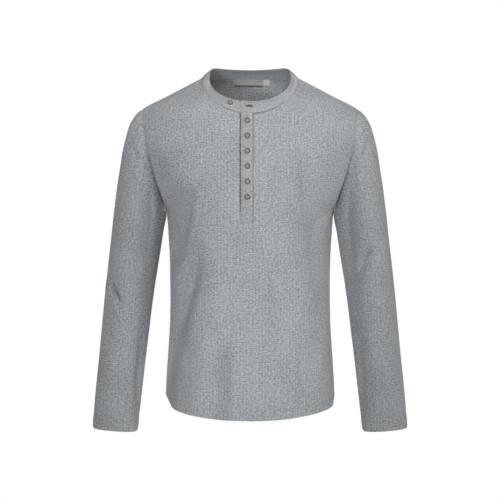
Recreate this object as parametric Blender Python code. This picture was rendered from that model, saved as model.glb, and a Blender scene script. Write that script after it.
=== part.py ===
"""A long-sleeved knitted henley shirt, filled out as it is worn, with no wearer inside.

Metres, +Z up. +X is towards the wearer's left, the front faces -Y. The origin lies midway between
the two neck points, a little below them, where the shoulders carry the shirt.

Each cut piece is its own closed wall of cloth. The body is a stack of flattened rings, one for each
height; the panels are cut from it along the side seams, the shoulder seams, the armholes and the
neckline. A sleeve is a fan of rings that turns about the underarm and then follows the arm.
"""

import math

import bmesh
import bpy
import numpy as np

# Cloth and seams
CLOTH = 0.0014
BAND_CLOTH = 0.0018
SEAM_GAP = 0.0003
TURN_DEPTH = 0.020
TURN_STEP = 0.0018
TURN_RAISE = 0.0006

# Heights on the body
HEM_Z = -0.6485
HEM_SAG = 0.0150
UNDERARM_Z = -0.2640
SHOULDER_Z = -0.0526
NECK_POINT_Z = 0.0110
SLIT_SAG = 0.0150

# Neckline: how far it falls in front and rises behind, and how round it is
FRONT_NECK_DROP = 0.0740
BACK_NECK_RISE = 0.0055
FRONT_NECK_ROUNDNESS = 1.85

# Placket: the slit in the front and its two strips, measured across from the middle
SLIT_RIGHT = -0.0160
SLIT_LEFT = 0.0070
OVERLAP_EDGE = -0.0178
LAP_RAISE = 0.0017

# Band ends: where the under end begins to sink below the other, how far past the overlap's edge it
# has sunk, and how far from the middle the ends reach
BAND_SINK_X = -0.0450
BAND_SUNK = 0.0012
BAND_END_REACH = 0.0500

# Buttons
BUTTON_RADIUS = 0.0058
BUTTON_HEIGHT = 0.0024
BUTTON_X = -0.0054
BUTTON_TOP_Z = -0.0790
BUTTON_PITCH = 0.0295
BUTTON_COUNT = 6
NECK_BUTTON_X = -0.0390
BUTTON_CLEARANCE = 0.00045

# Mesh counts
NECK_COLUMNS_FRONT = 8
NECK_COLUMNS_BACK = 8
SHOULDER_COLUMNS = 8
LOWER_ROWS = 13
UPPER_ROWS = 13
SLEEVE_RINGS = 19
FINE = 90

# The body's rings, from the hem up. The half width above the underarm runs on under the sleeve,
# and above the shoulder point it is the line of the shoulder seam.
TORSO_COLUMNS = ("height", "half_width", "front", "back", "middle", "squareness")
TORSO = (
    (-0.6700, 0.1732, 0.1310, 0.1240, 0.0000, 2.35),
    (-0.6100, 0.1716, 0.1285, 0.1210, 0.0000, 2.35),
    (-0.5450, 0.1674, 0.1245, 0.1150, 0.0000, 2.35),
    (-0.4800, 0.1634, 0.1205, 0.1080, 0.0000, 2.35),
    (-0.4200, 0.1624, 0.1205, 0.1050, 0.0000, 2.35),
    (-0.3500, 0.1636, 0.1260, 0.1080, 0.0000, 2.35),
    (-0.3000, 0.1664, 0.1305, 0.1140, 0.0000, 2.35),
    (-0.2640, 0.1692, 0.1325, 0.1180, 0.0000, 2.32),
    (-0.2320, 0.1830, 0.1325, 0.1210, 0.0010, 2.20),
    (-0.1950, 0.2000, 0.1310, 0.1230, 0.0025, 2.10),
    (-0.1550, 0.2180, 0.1260, 0.1230, 0.0045, 2.00),
    (-0.1150, 0.2370, 0.1180, 0.1195, 0.0070, 2.00),
    (-0.0850, 0.2370, 0.1080, 0.1140, 0.0090, 2.00),
    (-0.0680, 0.2300, 0.1010, 0.1100, 0.0100, 2.00),
    (-0.0526, 0.2182, 0.0935, 0.1060, 0.0110, 2.00),
    (-0.0250, 0.1670, 0.0740, 0.0975, 0.0150, 2.00),
    (0.0000, 0.1202, 0.0500, 0.0870, 0.0190, 2.00),
    (0.0110, 0.0996, 0.0380, 0.0810, 0.0200, 2.00),
    (0.0300, 0.0640, 0.0180, 0.0700, 0.0200, 2.00),
)

# The armhole seam seen from the front
ARMHOLE_COLUMNS = ("height", "out")
ARMHOLE = (
    (-0.2640, 0.1692),
    (-0.2320, 0.1786),
    (-0.1905, 0.1905),
    (-0.1600, 0.1992),
    (-0.1120, 0.2092),
    (-0.0526, 0.2182),
)

# The sleeve's rings, from the armhole to the end: the outer and the inner point of each as seen
# from the front, half its depth from front to back, its middle, and how square it is
SLEEVE_COLUMNS = ("outer_x", "outer_z", "inner_x", "inner_z", "depth", "middle", "squareness")
SLEEVE_CROWDING = 1.2
ARMHOLE_BLEND = 0.12
SLEEVE = (
    (0.2182, -0.0526, 0.1692, -0.2640, 0.0600, 0.0050, 2.0),
    (0.2263, -0.0576, 0.1694, -0.2652, 0.0612, 0.0052, 2.0),
    (0.2355, -0.0687, 0.1697, -0.2668, 0.0622, 0.0056, 2.0),
    (0.2447, -0.0858, 0.1701, -0.2688, 0.0630, 0.0062, 2.0),
    (0.2519, -0.1100, 0.1706, -0.2712, 0.0636, 0.0070, 2.0),
    (0.2586, -0.1382, 0.1712, -0.2742, 0.0640, 0.0078, 2.0),
    (0.2638, -0.1706, 0.1720, -0.2780, 0.0642, 0.0084, 2.0),
    (0.2692, -0.2029, 0.1730, -0.2830, 0.0642, 0.0088, 2.0),
    (0.2736, -0.2354, 0.1747, -0.2905, 0.0636, 0.0088, 2.0),
    (0.2779, -0.2690, 0.1771, -0.3030, 0.0625, 0.0084, 2.0),
    (0.2822, -0.3085, 0.1806, -0.3260, 0.0600, 0.0074, 2.0),
    (0.2869, -0.3493, 0.1864, -0.3630, 0.0565, 0.0050, 2.0),
    (0.2924, -0.3983, 0.1939, -0.4100, 0.0525, 0.0010, 2.0),
    (0.2970, -0.4470, 0.2002, -0.4575, 0.0485, -0.0050, 2.0),
    (0.3014, -0.4990, 0.2060, -0.5085, 0.0440, -0.0130, 2.0),
    (0.3056, -0.5510, 0.2120, -0.5600, 0.0395, -0.0220, 2.0),
    (0.3102, -0.5990, 0.2170, -0.6070, 0.0345, -0.0300, 2.0),
    (0.3142, -0.6465, 0.2222, -0.6540, 0.0300, -0.0370, 2.1),
    (0.3168, -0.6890, 0.2269, -0.6960, 0.0275, -0.0430, 2.2),
)

# Upper edge of the neckband: an oval seen from above, and its height from front to back
RIM_HALF_WIDTH = 0.0820
RIM_MIDDLE = 0.0030
RIM_FRONT = 0.0700
RIM_BACK = 0.0740
RIM_LAG = 0.085
RIM_COLUMNS = ("y", "height")
RIM = (
    (-0.0670, -0.0390),
    (-0.0440, -0.0225),
    (-0.0144, -0.0005),
    (0.0030, 0.0152),
    (0.0200, 0.0280),
    (0.0350, 0.0330),
    (0.0480, 0.0340),
    (0.0770, 0.0328),
)
BAND_BULGE = 0.0012
BAND_SHARES = (0.0, 0.25, 0.55, 0.85, 0.97)
BAND_EDGE_SHARE = 0.9
BAND_EDGE_ROUNDING = 0.18
BAND_CREST = 0.0003

# Folds: each runs straight from its upper to its lower end; a depth below zero is a trough
FOLD_COLUMNS = ("top_x", "top_z", "low_x", "low_z", "width", "depth")
FOLD_END_SHARE = 0.35
PANEL_FOLD_FADE = 0.035
SLEEVE_FOLD_FADE = 0.050
FRONT_FOLDS = (
    (-0.1100, -0.2300, -0.1500, -0.3900, 0.0170, -0.0055),
    (-0.1560, -0.1700, -0.1620, -0.3900, 0.0280, -0.0120),
    (-0.0930, -0.3100, -0.2000, -0.6000, 0.0210, -0.0110),
    (-0.1600, -0.4800, -0.1780, -0.7200, 0.0260, -0.0080),
    (-0.0560, -0.3100, -0.1050, -0.6300, 0.0220, 0.0035),
    (-0.0620, -0.4600, -0.0760, -0.7400, 0.0180, -0.0110),
    (-0.0300, -0.4700, -0.0360, -0.7600, 0.0130, 0.0030),
    (0.1120, -0.1300, 0.1280, -0.4300, 0.0230, -0.0050),
    (0.1450, -0.1700, 0.1560, -0.4600, 0.0260, -0.0090),
    (0.0480, -0.2800, 0.0400, -0.5600, 0.0140, 0.0022),
    (0.1080, -0.4500, 0.1020, -0.7600, 0.0190, -0.0035),
    (0.1480, -0.2500, 0.1250, -0.3500, 0.0120, -0.0040),
)
BACK_FOLDS = (
    (-0.1320, -0.1500, -0.0900, -0.4400, 0.0220, -0.0050),
    (0.1360, -0.1700, 0.0980, -0.4700, 0.0210, -0.0055),
    (-0.0300, -0.1000, 0.0100, -0.3600, 0.0260, 0.0030),
    (-0.0750, -0.3900, -0.1000, -0.7600, 0.0200, -0.0040),
    (0.0460, -0.4200, 0.0560, -0.7600, 0.0190, -0.0045),
    (-0.0080, -0.4700, -0.0120, -0.7600, 0.0170, 0.0035),
    (0.1300, -0.3700, 0.0500, -0.4300, 0.0140, -0.0035),
    (-0.1350, -0.3500, -0.0500, -0.4050, 0.0130, -0.0030),
)
SLEEVE_FRONT_FOLDS = (
    (0.2470, -0.1080, 0.2080, -0.1750, 0.0110, -0.0040),
    (0.2620, -0.1500, 0.1980, -0.2550, 0.0130, -0.0035),
    (0.1740, -0.1700, 0.1900, -0.4400, 0.0240, -0.0170),
    (0.2480, -0.3230, 0.2020, -0.3900, 0.0110, -0.0070),
    (0.2000, -0.3700, 0.2200, -0.7000, 0.0170, -0.0110),
    (0.2950, -0.3850, 0.2480, -0.4500, 0.0100, -0.0040),
    (0.2380, -0.4200, 0.2250, -0.5200, 0.0110, -0.0030),
    (0.2900, -0.5200, 0.2600, -0.6300, 0.0120, 0.0028),
)
SLEEVE_BACK_FOLDS = (
    (0.2560, -0.1300, 0.2000, -0.2200, 0.0130, -0.0040),
    (0.2860, -0.3400, 0.2200, -0.3950, 0.0110, -0.0045),
    (0.2920, -0.4000, 0.2250, -0.4300, 0.0105, -0.0040),
    (0.2800, -0.4700, 0.2600, -0.5900, 0.0130, -0.0030),
)

# Labels inside the back neck, measured across from the middle and down from the seam
NECK_LABEL = {"left": -0.0335, "right": 0.0272, "drop": 0.0150}
SIZE_TAB = {"left": 0.0288, "right": 0.0428, "drop": 0.0125}
LABEL_CLOTH = 0.0010
LABEL_CLEARANCE = 0.0012
LABEL_DROP = 0.0011
LABEL_HANG = 0.0008

COLOURS = {
    "knit": (0.62, 0.63, 0.64),
    "knit_dark": (0.56, 0.57, 0.58),
    "button": (0.44, 0.41, 0.43),
    "label": (0.60, 0.58, 0.58),
    "tab": (0.86, 0.86, 0.86),
}


def smooth_curve(knots, values, at):
    """Cubic through the table's rows that never swings past them."""
    knots = np.asarray(knots, float)
    values = np.asarray(values, float)
    step = np.diff(knots)
    rise = np.diff(values) / step
    slope = np.empty(len(knots))
    slope[0], slope[-1] = rise[0], rise[-1]
    product = rise[1:] * rise[:-1]
    total = np.where(np.abs(rise[1:] + rise[:-1]) < 1e-12, 1.0, rise[1:] + rise[:-1])
    slope[1:-1] = np.where(product > 0, 2 * product / total, 0.0)
    at = np.asarray(at, float)
    k = np.clip(np.searchsorted(knots, at) - 1, 0, len(step) - 1)
    t = (at - knots[k]) / step[k]
    t = np.clip(t, 0.0, 1.0)
    curve = (
        (2 * t**3 - 3 * t**2 + 1) * values[k]
        + (t**3 - 2 * t**2 + t) * step[k] * slope[k]
        + (3 * t**2 - 2 * t**3) * values[k + 1]
        + (t**3 - t**2) * step[k] * slope[k + 1]
    )
    return curve


def table_value(table, columns, name, at, key=None):
    """One named column of a table, read at any place along its first column or along key."""
    rows = np.array(table)
    knots = rows[:, 0] if key is None else key
    return smooth_curve(knots, rows[:, columns.index(name)], at)


def torso_value(name, height):
    return table_value(TORSO, TORSO_COLUMNS, name, height)


def armhole_x(height):
    return table_value(ARMHOLE, ARMHOLE_COLUMNS, "out", height)


def unit(vectors):
    return vectors / np.maximum(np.linalg.norm(vectors, axis=-1, keepdims=True), 1e-12)


def ease(value):
    """Soft step from 0 to 1."""
    t = np.clip(value, 0.0, 1.0)
    return t * t * (3 - 2 * t)


def torso_point(x, z, side):
    """Point of the body's ring at height z, side -1 in front and +1 behind."""
    width = torso_value("half_width", z)
    depth = torso_value("front" if side < 0 else "back", z)
    square = torso_value("squareness", z)
    ratio = np.clip(np.abs(x) / width, 0.0, 1.0)
    y = torso_value("middle", z) + side * depth * (1 - ratio**square) ** (1 / square)
    return np.stack(np.broadcast_arrays(x, y, z), axis=-1)


def torso_level(point, side):
    """Below 1 inside the body's rings, above 1 outside them."""
    x, y, z = point[..., 0], point[..., 1], point[..., 2]
    width = torso_value("half_width", z)
    depth = torso_value("front" if side < 0 else "back", z)
    square = torso_value("squareness", z)
    across = np.abs(x) / width
    through = np.maximum((y - torso_value("middle", z)) * side / depth, 0.0)
    return across**square + through**square


def torso_normal(point, side):
    """Outward normal, from how the level changes around the point."""
    reach = 0.0005
    change = []
    for axis in range(3):
        shift = np.zeros(3)
        shift[axis] = reach
        change.append(torso_level(point + shift, side) - torso_level(point - shift, side))
    normal = np.stack(change, axis=-1)
    on_seam = np.abs(point[..., 1] - torso_value("middle", point[..., 2])) < 1e-6
    normal[..., 1] = np.where(on_seam, 0.0, normal[..., 1])
    return unit(normal)


def fold_height(x, z, folds):
    """Sum of the folds: bell-shaped across, fading softly at both ends."""
    height = np.zeros(np.broadcast(x, z).shape)
    for row in folds:
        fold = dict(zip(FOLD_COLUMNS, row))
        run_x = fold["low_x"] - fold["top_x"]
        run_z = fold["low_z"] - fold["top_z"]
        length = math.hypot(run_x, run_z)
        off_x = x - fold["top_x"]
        off_z = z - fold["top_z"]
        along = (off_x * run_x + off_z * run_z) / length**2
        across = (off_x * run_z - off_z * run_x) / length
        fade = ease(along / FOLD_END_SHARE) * ease((1 - along) / FOLD_END_SHARE)
        height = height + fold["depth"] * np.exp(-((across / fold["width"]) ** 2)) * fade
    return height


def neckline(turn, side):
    """Neckline in the frontal plane; turn is 0 in the middle and a quarter circle at the neck point."""
    half = torso_value("half_width", NECK_POINT_Z)
    if side < 0:
        power = 2 / FRONT_NECK_ROUNDNESS
        x = half * np.sin(turn) ** power
        z = NECK_POINT_Z - FRONT_NECK_DROP * np.cos(turn) ** power
    else:
        x = half * np.sin(turn)
        z = NECK_POINT_Z + BACK_NECK_RISE * np.cos(turn) ** 2
    return x, z


def top_edge(side):
    """Half of a panel's upper edge: neckline from the middle, then the shoulder seam."""
    turn = np.linspace(0, math.pi / 2, FINE)
    neck_x, neck_z = neckline(turn, side)
    fall = np.sin(np.linspace(0, math.pi / 2, FINE)[1:])
    seam_z = NECK_POINT_Z + (SHOULDER_Z - NECK_POINT_Z) * fall
    seam_x = torso_value("half_width", seam_z)
    return np.concatenate([neck_x, seam_x]), np.concatenate([neck_z, seam_z])


def panel_row(side, upper, rise):
    """Half of one level line across a panel, at the share rise of its lower or upper part."""
    edge_x, edge_z = top_edge(side)
    if upper:
        end_z = UNDERARM_Z + (SHOULDER_Z - UNDERARM_Z) * rise
        reach = armhole_x(end_z)
        sag = SLIT_SAG * (1 - rise) ** 2
        lift = rise**2 * (edge_z - SHOULDER_Z)
    else:
        end_z = HEM_Z + (UNDERARM_Z - HEM_Z) * rise
        reach = torso_value("half_width", end_z)
        sag = HEM_SAG + (SLIT_SAG - HEM_SAG) * rise
        lift = 0.0
    x = edge_x * reach / edge_x[-1]
    z = end_z - sag * (1 - (x / reach) ** 2) + lift
    return torso_point(x, z, side)


def path_length(points):
    steps = np.linalg.norm(np.diff(points, axis=0), axis=-1)
    return np.concatenate([[0.0], np.cumsum(steps)])


def resample(points, places):
    """Points at the given distances along a fine path."""
    length = path_length(points)
    return np.stack([np.interp(places, length, points[:, axis]) for axis in range(3)], axis=-1)


def half_row(side, upper, rise, start_x, neck_columns):
    """Points of half a level line, from start_x to the panel's edge."""
    row = panel_row(side, upper, rise)
    length = path_length(row)
    start = np.interp(start_x, row[:, 0], length)
    corner = (length[FINE - 1] - start) / (length[-1] - start)
    count = neck_columns + SHOULDER_COLUMNS
    even = np.linspace(0, 1, count + 1)
    kept = np.concatenate([
        np.linspace(0, corner, neck_columns + 1),
        np.linspace(corner, 1, SHOULDER_COLUMNS + 1)[1:],
    ])
    blend = rise**2 if upper else 0.0
    share = even + (kept - even) * blend
    return resample(row, start + share * (length[-1] - start))


def mirrored(points):
    return points * np.array([-1.0, 1.0, 1.0])


def full_row(side, upper, rise):
    """A whole level line; the front also has columns at both edges of the slit."""
    if side > 0:
        half = half_row(side, upper, rise, 0.0, NECK_COLUMNS_BACK)
        return np.concatenate([half[::-1], mirrored(half)[1:]])
    right = mirrored(half_row(side, upper, rise, -SLIT_RIGHT, NECK_COLUMNS_FRONT))
    left = half_row(side, upper, rise, SLIT_LEFT, NECK_COLUMNS_FRONT)
    middle_x = (SLIT_RIGHT + SLIT_LEFT) / 2
    row = panel_row(side, upper, rise)
    middle_z = np.interp(abs(middle_x), row[:, 0], row[:, 2])
    middle = torso_point(np.array([middle_x]), np.array([middle_z]), side)
    return np.concatenate([right[::-1], middle, left])


def even_columns(rows, places):
    """Each column of a stack of level lines, resampled at shares of its own length."""
    columns = []
    for index in range(rows.shape[1]):
        column = rows[:, index]
        columns.append(resample(column, places(path_length(column)[-1])))
    return np.stack(columns, axis=1)


def lower_places(length):
    """Hem, the two edges of the turn's step, then even rows."""
    return np.concatenate([[0.0, TURN_DEPTH], np.linspace(TURN_DEPTH + TURN_STEP, length, LOWER_ROWS - 1)])


def upper_places(length):
    return np.linspace(0, length, UPPER_ROWS + 1)


def panel_grid(side):
    """Points of a panel, from the hem up and from the wearer's right to left (mirrored behind)."""
    shares = (1 - np.cos(np.linspace(0, math.pi, FINE))) / 2
    lower = np.stack([full_row(side, False, share) for share in shares])
    upper = np.stack([full_row(side, True, share) for share in shares])
    lower = even_columns(lower, lower_places)
    upper = even_columns(upper, upper_places)
    return np.concatenate([lower, upper[1:]])


def distance_to_edges(points):
    """How far each point of a panel lies from its sides and its upper edge, along the cloth."""
    across = np.concatenate([
        np.zeros((len(points), 1)),
        np.cumsum(np.linalg.norm(np.diff(points, axis=1), axis=-1), axis=1),
    ], axis=1)
    sides = np.minimum(across, across[:, -1:] - across)
    up = np.concatenate([
        np.zeros((1, points.shape[1])),
        np.cumsum(np.linalg.norm(np.diff(points, axis=0), axis=-1), axis=0),
    ])
    return np.minimum(sides, up[-1:] - up)


def outboard(side_x):
    """Direction from the body out through an armhole."""
    run_x = SLEEVE[0][0] - SLEEVE[0][2]
    run_z = SLEEVE[0][1] - SLEEVE[0][3]
    across = unit(np.array([run_z, 0.0, -run_x]))
    return across * np.array([side_x, 1.0, 1.0])


def towards_neck(points, normals):
    """Direction along the cloth, square to a neckline, that points up to the neck."""
    tangent = unit(np.gradient(points, axis=0))
    direction = unit(np.cross(tangent, normals))
    flip = np.where(direction[..., 2:] < 0, -1.0, 1.0)
    return direction * flip


def shared_direction(own, other):
    """Way a wall is set off at a seam: halfway between two pieces unless they fold back to back."""
    facing = np.sum(own * other, axis=-1, keepdims=True)
    weight = ease((facing + 0.2) / 0.7)
    return unit(own * (1 - weight) + unit(own + other + 1e-9) * weight)


def ring_places(half_length, half_depth, square, count):
    """Even places round a squared oval, as shares of its two half sizes, from its outer point."""
    turn = np.linspace(0, math.pi, 181)
    along = np.sign(np.cos(turn)) * np.abs(np.cos(turn)) ** (2 / square)
    through = np.abs(np.sin(turn)) ** (2 / square)
    path = np.stack([along * half_length, through * half_depth, np.zeros_like(turn)], axis=-1)
    half = resample(path, np.linspace(0, path_length(path)[-1], count // 2 + 1))
    half = half / np.array([half_length, half_depth, 1.0])
    back = half[1:-1][::-1] * np.array([1.0, -1.0, 1.0])
    return np.concatenate([half, back])


def sleeve_ring(values, count):
    """One ring of a sleeve, from its outer point round the front to its inner point and back."""
    outer = np.array([values["outer_x"], values["middle"], values["outer_z"]])
    inner = np.array([values["inner_x"], values["middle"], values["inner_z"]])
    middle = (outer + inner) / 2
    half = (outer - inner) / 2
    places = ring_places(np.linalg.norm(half), values["depth"], values["squareness"], count)
    forward = np.array([0.0, -values["depth"], 0.0])
    return middle + places[:, :1] * half + places[:, 1:2] * forward


def armhole_loop(front, back):
    """The two panels' armhole edges joined into one loop, ordered as a sleeve's ring."""
    front_edge = front[LOWER_ROWS:, -1][::-1]
    back_edge = back[LOWER_ROWS:, 0]
    return np.concatenate([front_edge, back_edge[1:-1]])


def armhole_normals(loop, count):
    """The body's outward normals at the armhole loop."""
    half = count // 2
    front = torso_normal(loop[: half + 1], -1)
    back = torso_normal(loop[half + 1:], 1)
    return np.concatenate([front, back])


def sleeve_key():
    """Distance of each row of the sleeve's table from the shoulder, along the outer edge."""
    rows = np.array(SLEEVE)
    return path_length(rows[:, :2])


def sleeve_grid(loop):
    """Points of a sleeve without its folds, one row for each ring."""
    key = sleeve_key()
    count = len(loop)
    end = key[-1]
    steps = np.linspace(0, 1, SLEEVE_RINGS + 1) ** SLEEVE_CROWDING
    marks = np.concatenate([steps * (end - TURN_DEPTH - TURN_STEP), [end - TURN_DEPTH, end]])
    rings = []
    for mark in marks:
        values = {
            name: float(table_value(SLEEVE, SLEEVE_COLUMNS, name, mark, key)) for name in SLEEVE_COLUMNS
        }
        rings.append(sleeve_ring(values, count))
    rings = np.stack(rings)
    decay = (1 - np.clip(marks / ARMHOLE_BLEND, 0, 1)) ** 2
    return rings + decay[:, None, None] * (loop - rings[0])


def closed_normals(grid):
    """Outward normals of a tube's points, from its neighbours along and round it."""
    along = np.gradient(grid, axis=0)
    around = np.roll(grid, -1, axis=1) - np.roll(grid, 1, axis=1)
    return unit(np.cross(around, along))


def cloth_material(name, colour, roughness):
    material = bpy.data.materials.new(name)
    material.use_nodes = True
    shader = material.node_tree.nodes["Principled BSDF"]
    linear = [((c + 0.055) / 1.055) ** 2.4 if c > 0.04045 else c / 12.92 for c in colour]
    shader.inputs["Base Color"].default_value = (*linear, 1.0)
    shader.inputs["Roughness"].default_value = roughness
    shader.inputs["Metallic"].default_value = 0.0
    return material


def make_object(name, points, faces, material):
    """A closed mesh with its faces outward and its round parts smooth."""
    mesh = bpy.data.meshes.new(name)
    mesh.from_pydata([tuple(map(float, point)) for point in points], [], faces)
    shell = bmesh.new()
    shell.from_mesh(mesh)
    bmesh.ops.recalc_face_normals(shell, faces=shell.faces[:])
    shell.to_mesh(mesh)
    shell.free()
    mesh.materials.append(material)
    mesh.shade_smooth()
    mesh.set_sharp_from_angle(angle=math.radians(40))
    made = bpy.data.objects.new(name, mesh)
    bpy.context.collection.objects.link(made)
    return made


def wall_faces(rows, columns, closed, removed):
    """Faces of a wall: an outer grid, an inner grid behind it and a rim round every open edge."""
    across = columns if closed else columns - 1
    back = rows * columns

    def at(row, column):
        return row * columns + column % columns

    def kept(row, column):
        if closed:
            column %= columns
        inside = 0 <= row < rows - 1 and 0 <= column < across
        return inside and (row, column) not in removed

    faces = []
    for row in range(rows - 1):
        for column in range(across):
            if not kept(row, column):
                continue
            a, b = at(row, column), at(row, column + 1)
            c, d = at(row + 1, column + 1), at(row + 1, column)
            faces.append((a, b, c, d))
            faces.append((back + d, back + c, back + b, back + a))
            sides = (
                (row - 1, column, a, b),
                (row, column + 1, b, c),
                (row + 1, column, c, d),
                (row, column - 1, d, a),
            )
            for next_row, next_column, first, second in sides:
                if not kept(next_row, next_column):
                    faces.append((second, first, back + first, back + second))
    return faces


def make_wall(name, outer, inner, material, closed=False, removed=()):
    rows, columns = outer.shape[:2]
    faces = wall_faces(rows, columns, closed, set(removed))
    points = np.concatenate([outer.reshape(-1, 3), inner.reshape(-1, 3)])
    used = sorted({corner for face in faces for corner in face})
    place = {old: new for new, old in enumerate(used)}
    faces = [tuple(place[corner] for corner in face) for face in faces]
    return make_object(name, points[used], faces, material)


def make_strip(name, sections, material):
    """Closed sections joined along a path, with both ends filled."""
    count, around = sections.shape[:2]
    faces = []
    for section in range(count - 1):
        for corner in range(around):
            a = section * around + corner
            b = section * around + (corner + 1) % around
            faces.append((a, b, b + around, a + around))
    faces.append(tuple(range(around))[::-1])
    faces.append(tuple((count - 1) * around + corner for corner in range(around)))
    return make_object(name, sections.reshape(-1, 3), faces, material)


def make_panel(name, side, grid, sleeve_normals, material):
    normals = torso_normal(grid, side)
    folds = fold_height(grid[..., 0], grid[..., 2], FRONT_FOLDS if side < 0 else BACK_FOLDS)
    height = folds * ease(distance_to_edges(grid) / PANEL_FOLD_FADE)
    height[:2] += TURN_RAISE
    offset = normals.copy()
    columns = grid.shape[1]
    half = len(sleeve_normals) // 2
    # Armhole edges: the wall is set off halfway between body and sleeve
    left_edge, right_edge = (columns - 1, 0) if side < 0 else (0, columns - 1)
    order = sleeve_normals[: half + 1][::-1] if side < 0 else np.roll(sleeve_normals, -half, axis=0)[: half + 1]
    flip = np.array([-1.0, 1.0, 1.0])
    offset[LOWER_ROWS:, left_edge] = shared_direction(normals[LOWER_ROWS:, left_edge], order)
    offset[LOWER_ROWS:, right_edge] = shared_direction(normals[LOWER_ROWS:, right_edge], order * flip)
    base = grid.copy()
    gap = SEAM_GAP / 2
    base[:, [0, -1], 1] += side * gap
    base[-1, :, 1] += side * gap
    neck = NECK_COLUMNS_FRONT if side < 0 else NECK_COLUMNS_BACK
    start = SHOULDER_COLUMNS
    stop = columns - SHOULDER_COLUMNS
    base[-1, start + 1: stop - 1, 1] -= side * gap
    up = towards_neck(grid[-1, start: stop], normals[-1, start: stop])
    base[-1, start: stop] -= up * gap
    base[LOWER_ROWS:, left_edge] -= outboard(1.0) * gap
    base[LOWER_ROWS:, right_edge] -= outboard(-1.0) * gap
    outer = base + normals * height[..., None]
    inner = outer - offset * CLOTH
    inner[:2] -= normals[:2] * TURN_RAISE * 2
    removed = []
    if side < 0:
        first = SHOULDER_COLUMNS + neck
        removed = [(row, column) for row in range(LOWER_ROWS, len(grid) - 1) for column in (first, first + 1)]
    make_wall(name, outer, inner, material, removed=removed)
    return inner


def make_sleeve(name, side_x, grid, body_normals, material):
    """side_x is +1 on the wearer's left and -1 on the right."""
    normals = closed_normals(grid)
    x, z = grid[..., 0], grid[..., 2]
    front = fold_height(x, z, SLEEVE_FRONT_FOLDS) * ease(-normals[..., 1] / 0.6)
    back = fold_height(x, z, SLEEVE_BACK_FOLDS) * ease(normals[..., 1] / 0.6)
    height = front + back
    seam = path_length(grid[:, 0])
    height *= ease(seam / SLEEVE_FOLD_FADE)[:, None]
    height[-2:] += TURN_RAISE
    offset = normals.copy()
    offset[0] = shared_direction(normals[0], body_normals)
    base = grid.copy()
    base[0] += outboard(1.0) * SEAM_GAP / 2
    outer = base + normals * height[..., None]
    inner = outer - offset * CLOTH
    inner[-2:] -= normals[-2:] * TURN_RAISE * 2
    if side_x < 0:
        outer, inner = mirrored(outer), mirrored(inner)
    return make_wall(name, outer, inner, material, closed=True)


def lap_raise(x):
    """Height of the overlap above the front: nothing at its sewn edge, most at its free edge."""
    return LAP_RAISE * (SLIT_LEFT - x) / (SLIT_LEFT - SLIT_RIGHT)


def front_point(x, z, height):
    """Point over the plain front, and the outward normal there."""
    base = torso_point(x, z, -1)
    normal = torso_normal(base, -1)
    return base + normal * np.asarray(height)[..., None], normal


def front_neck_z(x):
    """Height of the front neckline over a place across the front."""
    turn = np.linspace(0, math.pi / 2, 400)
    line_x, line_z = neckline(turn, -1)
    return np.interp(np.abs(x), line_x, line_z)


def slit_bottom_z():
    """Height of the slit's lower end."""
    row = panel_row(-1, True, 0.0)
    return float(np.interp(abs(SLIT_RIGHT + SLIT_LEFT) / 2, row[:, 0], row[:, 2]))


def make_placket_strip(name, left, right, lift, material):
    """One strip of the placket between two places across, lift metres above the overlap's plane."""
    across = np.linspace(left, right, 5)
    top = front_neck_z(across) - SEAM_GAP
    bottom = slit_bottom_z() + SEAM_GAP * 1.5
    sections = []
    for share in np.linspace(0, 1, UPPER_ROWS + 1):
        z = bottom + (top - bottom) * share
        height = lap_raise(across) + lift
        outer, normal = front_point(across, z, height)
        inner = outer - normal * CLOTH
        sections.append(np.concatenate([outer, inner[::-1]]))
    return make_strip(name, np.stack(sections), material)


def neck_seam(front, back):
    """The neck seam from the overlap's end round the back to the underlap's end.

    Its corners are the panels' own, with one more point half way along each side. Gives the points,
    the normals there and the share of the way round: 0 and 2 in front, 1 behind.
    """
    part = slice(SHOULDER_COLUMNS, -SHOULDER_COLUMNS)
    front_row, back_row = front[-1, part], back[-1, part]
    front_way, back_way = torso_normal(front_row, -1), torso_normal(back_row, 1)
    slit = NECK_COLUMNS_FRONT

    def at(place):
        row = np.stack([np.interp(place, front_row[:, 0], front_row[:, axis]) for axis in range(3)])
        way = np.stack([np.interp(place, front_row[:, 0], front_way[:, axis]) for axis in range(3)])
        return row[None], way[None]

    start, start_way = at(OVERLAP_EDGE)
    end, end_way = at(SLIT_LEFT - SEAM_GAP)
    corners = np.concatenate([start, front_row[slit:], back_row[1:-1], front_row[: slit + 2], end])
    ways = np.concatenate([start_way, front_way[slit:], back_way[1:-1], front_way[: slit + 2], end_way])
    count = 2 * len(corners) - 1
    points, normals = np.empty((count, 3)), np.empty((count, 3))
    points[::2], normals[::2] = corners, ways
    points[1::2] = (corners[1:] + corners[:-1]) / 2
    normals[1::2] = unit(ways[1:] + ways[:-1])
    length = path_length(points)
    first = np.interp(0.0, points[:10, 0], length[:10])
    last = np.interp(0.0, points[-10:, 0], length[-10:])
    return points, normals, 2 * (length - first) / (last - first)


def rim_point(signed):
    """Upper edge of the band at a signed share of the way round: 0 and 2 in front, 1 behind."""
    share = np.abs(np.where(signed > 1, 2 - signed, signed))
    side_x = np.where((signed < 0) | ((signed > 1) & (signed <= 2)), -1.0, 1.0)
    turn = np.linspace(0, math.pi, 400)
    x = RIM_HALF_WIDTH * np.sin(turn)
    depth = np.where(turn < math.pi / 2, RIM_FRONT, RIM_BACK)
    y = RIM_MIDDLE - depth * np.cos(turn)
    z = table_value(RIM, RIM_COLUMNS, "height", y)
    half = np.stack([x, y, z], axis=-1)
    length = path_length(half)
    lagged = share + RIM_LAG * np.sin(math.pi * share)
    point = np.stack([np.interp(lagged * length[-1], length, half[:, axis]) for axis in range(3)], axis=-1)
    point[..., 0] *= side_x
    return point


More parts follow.
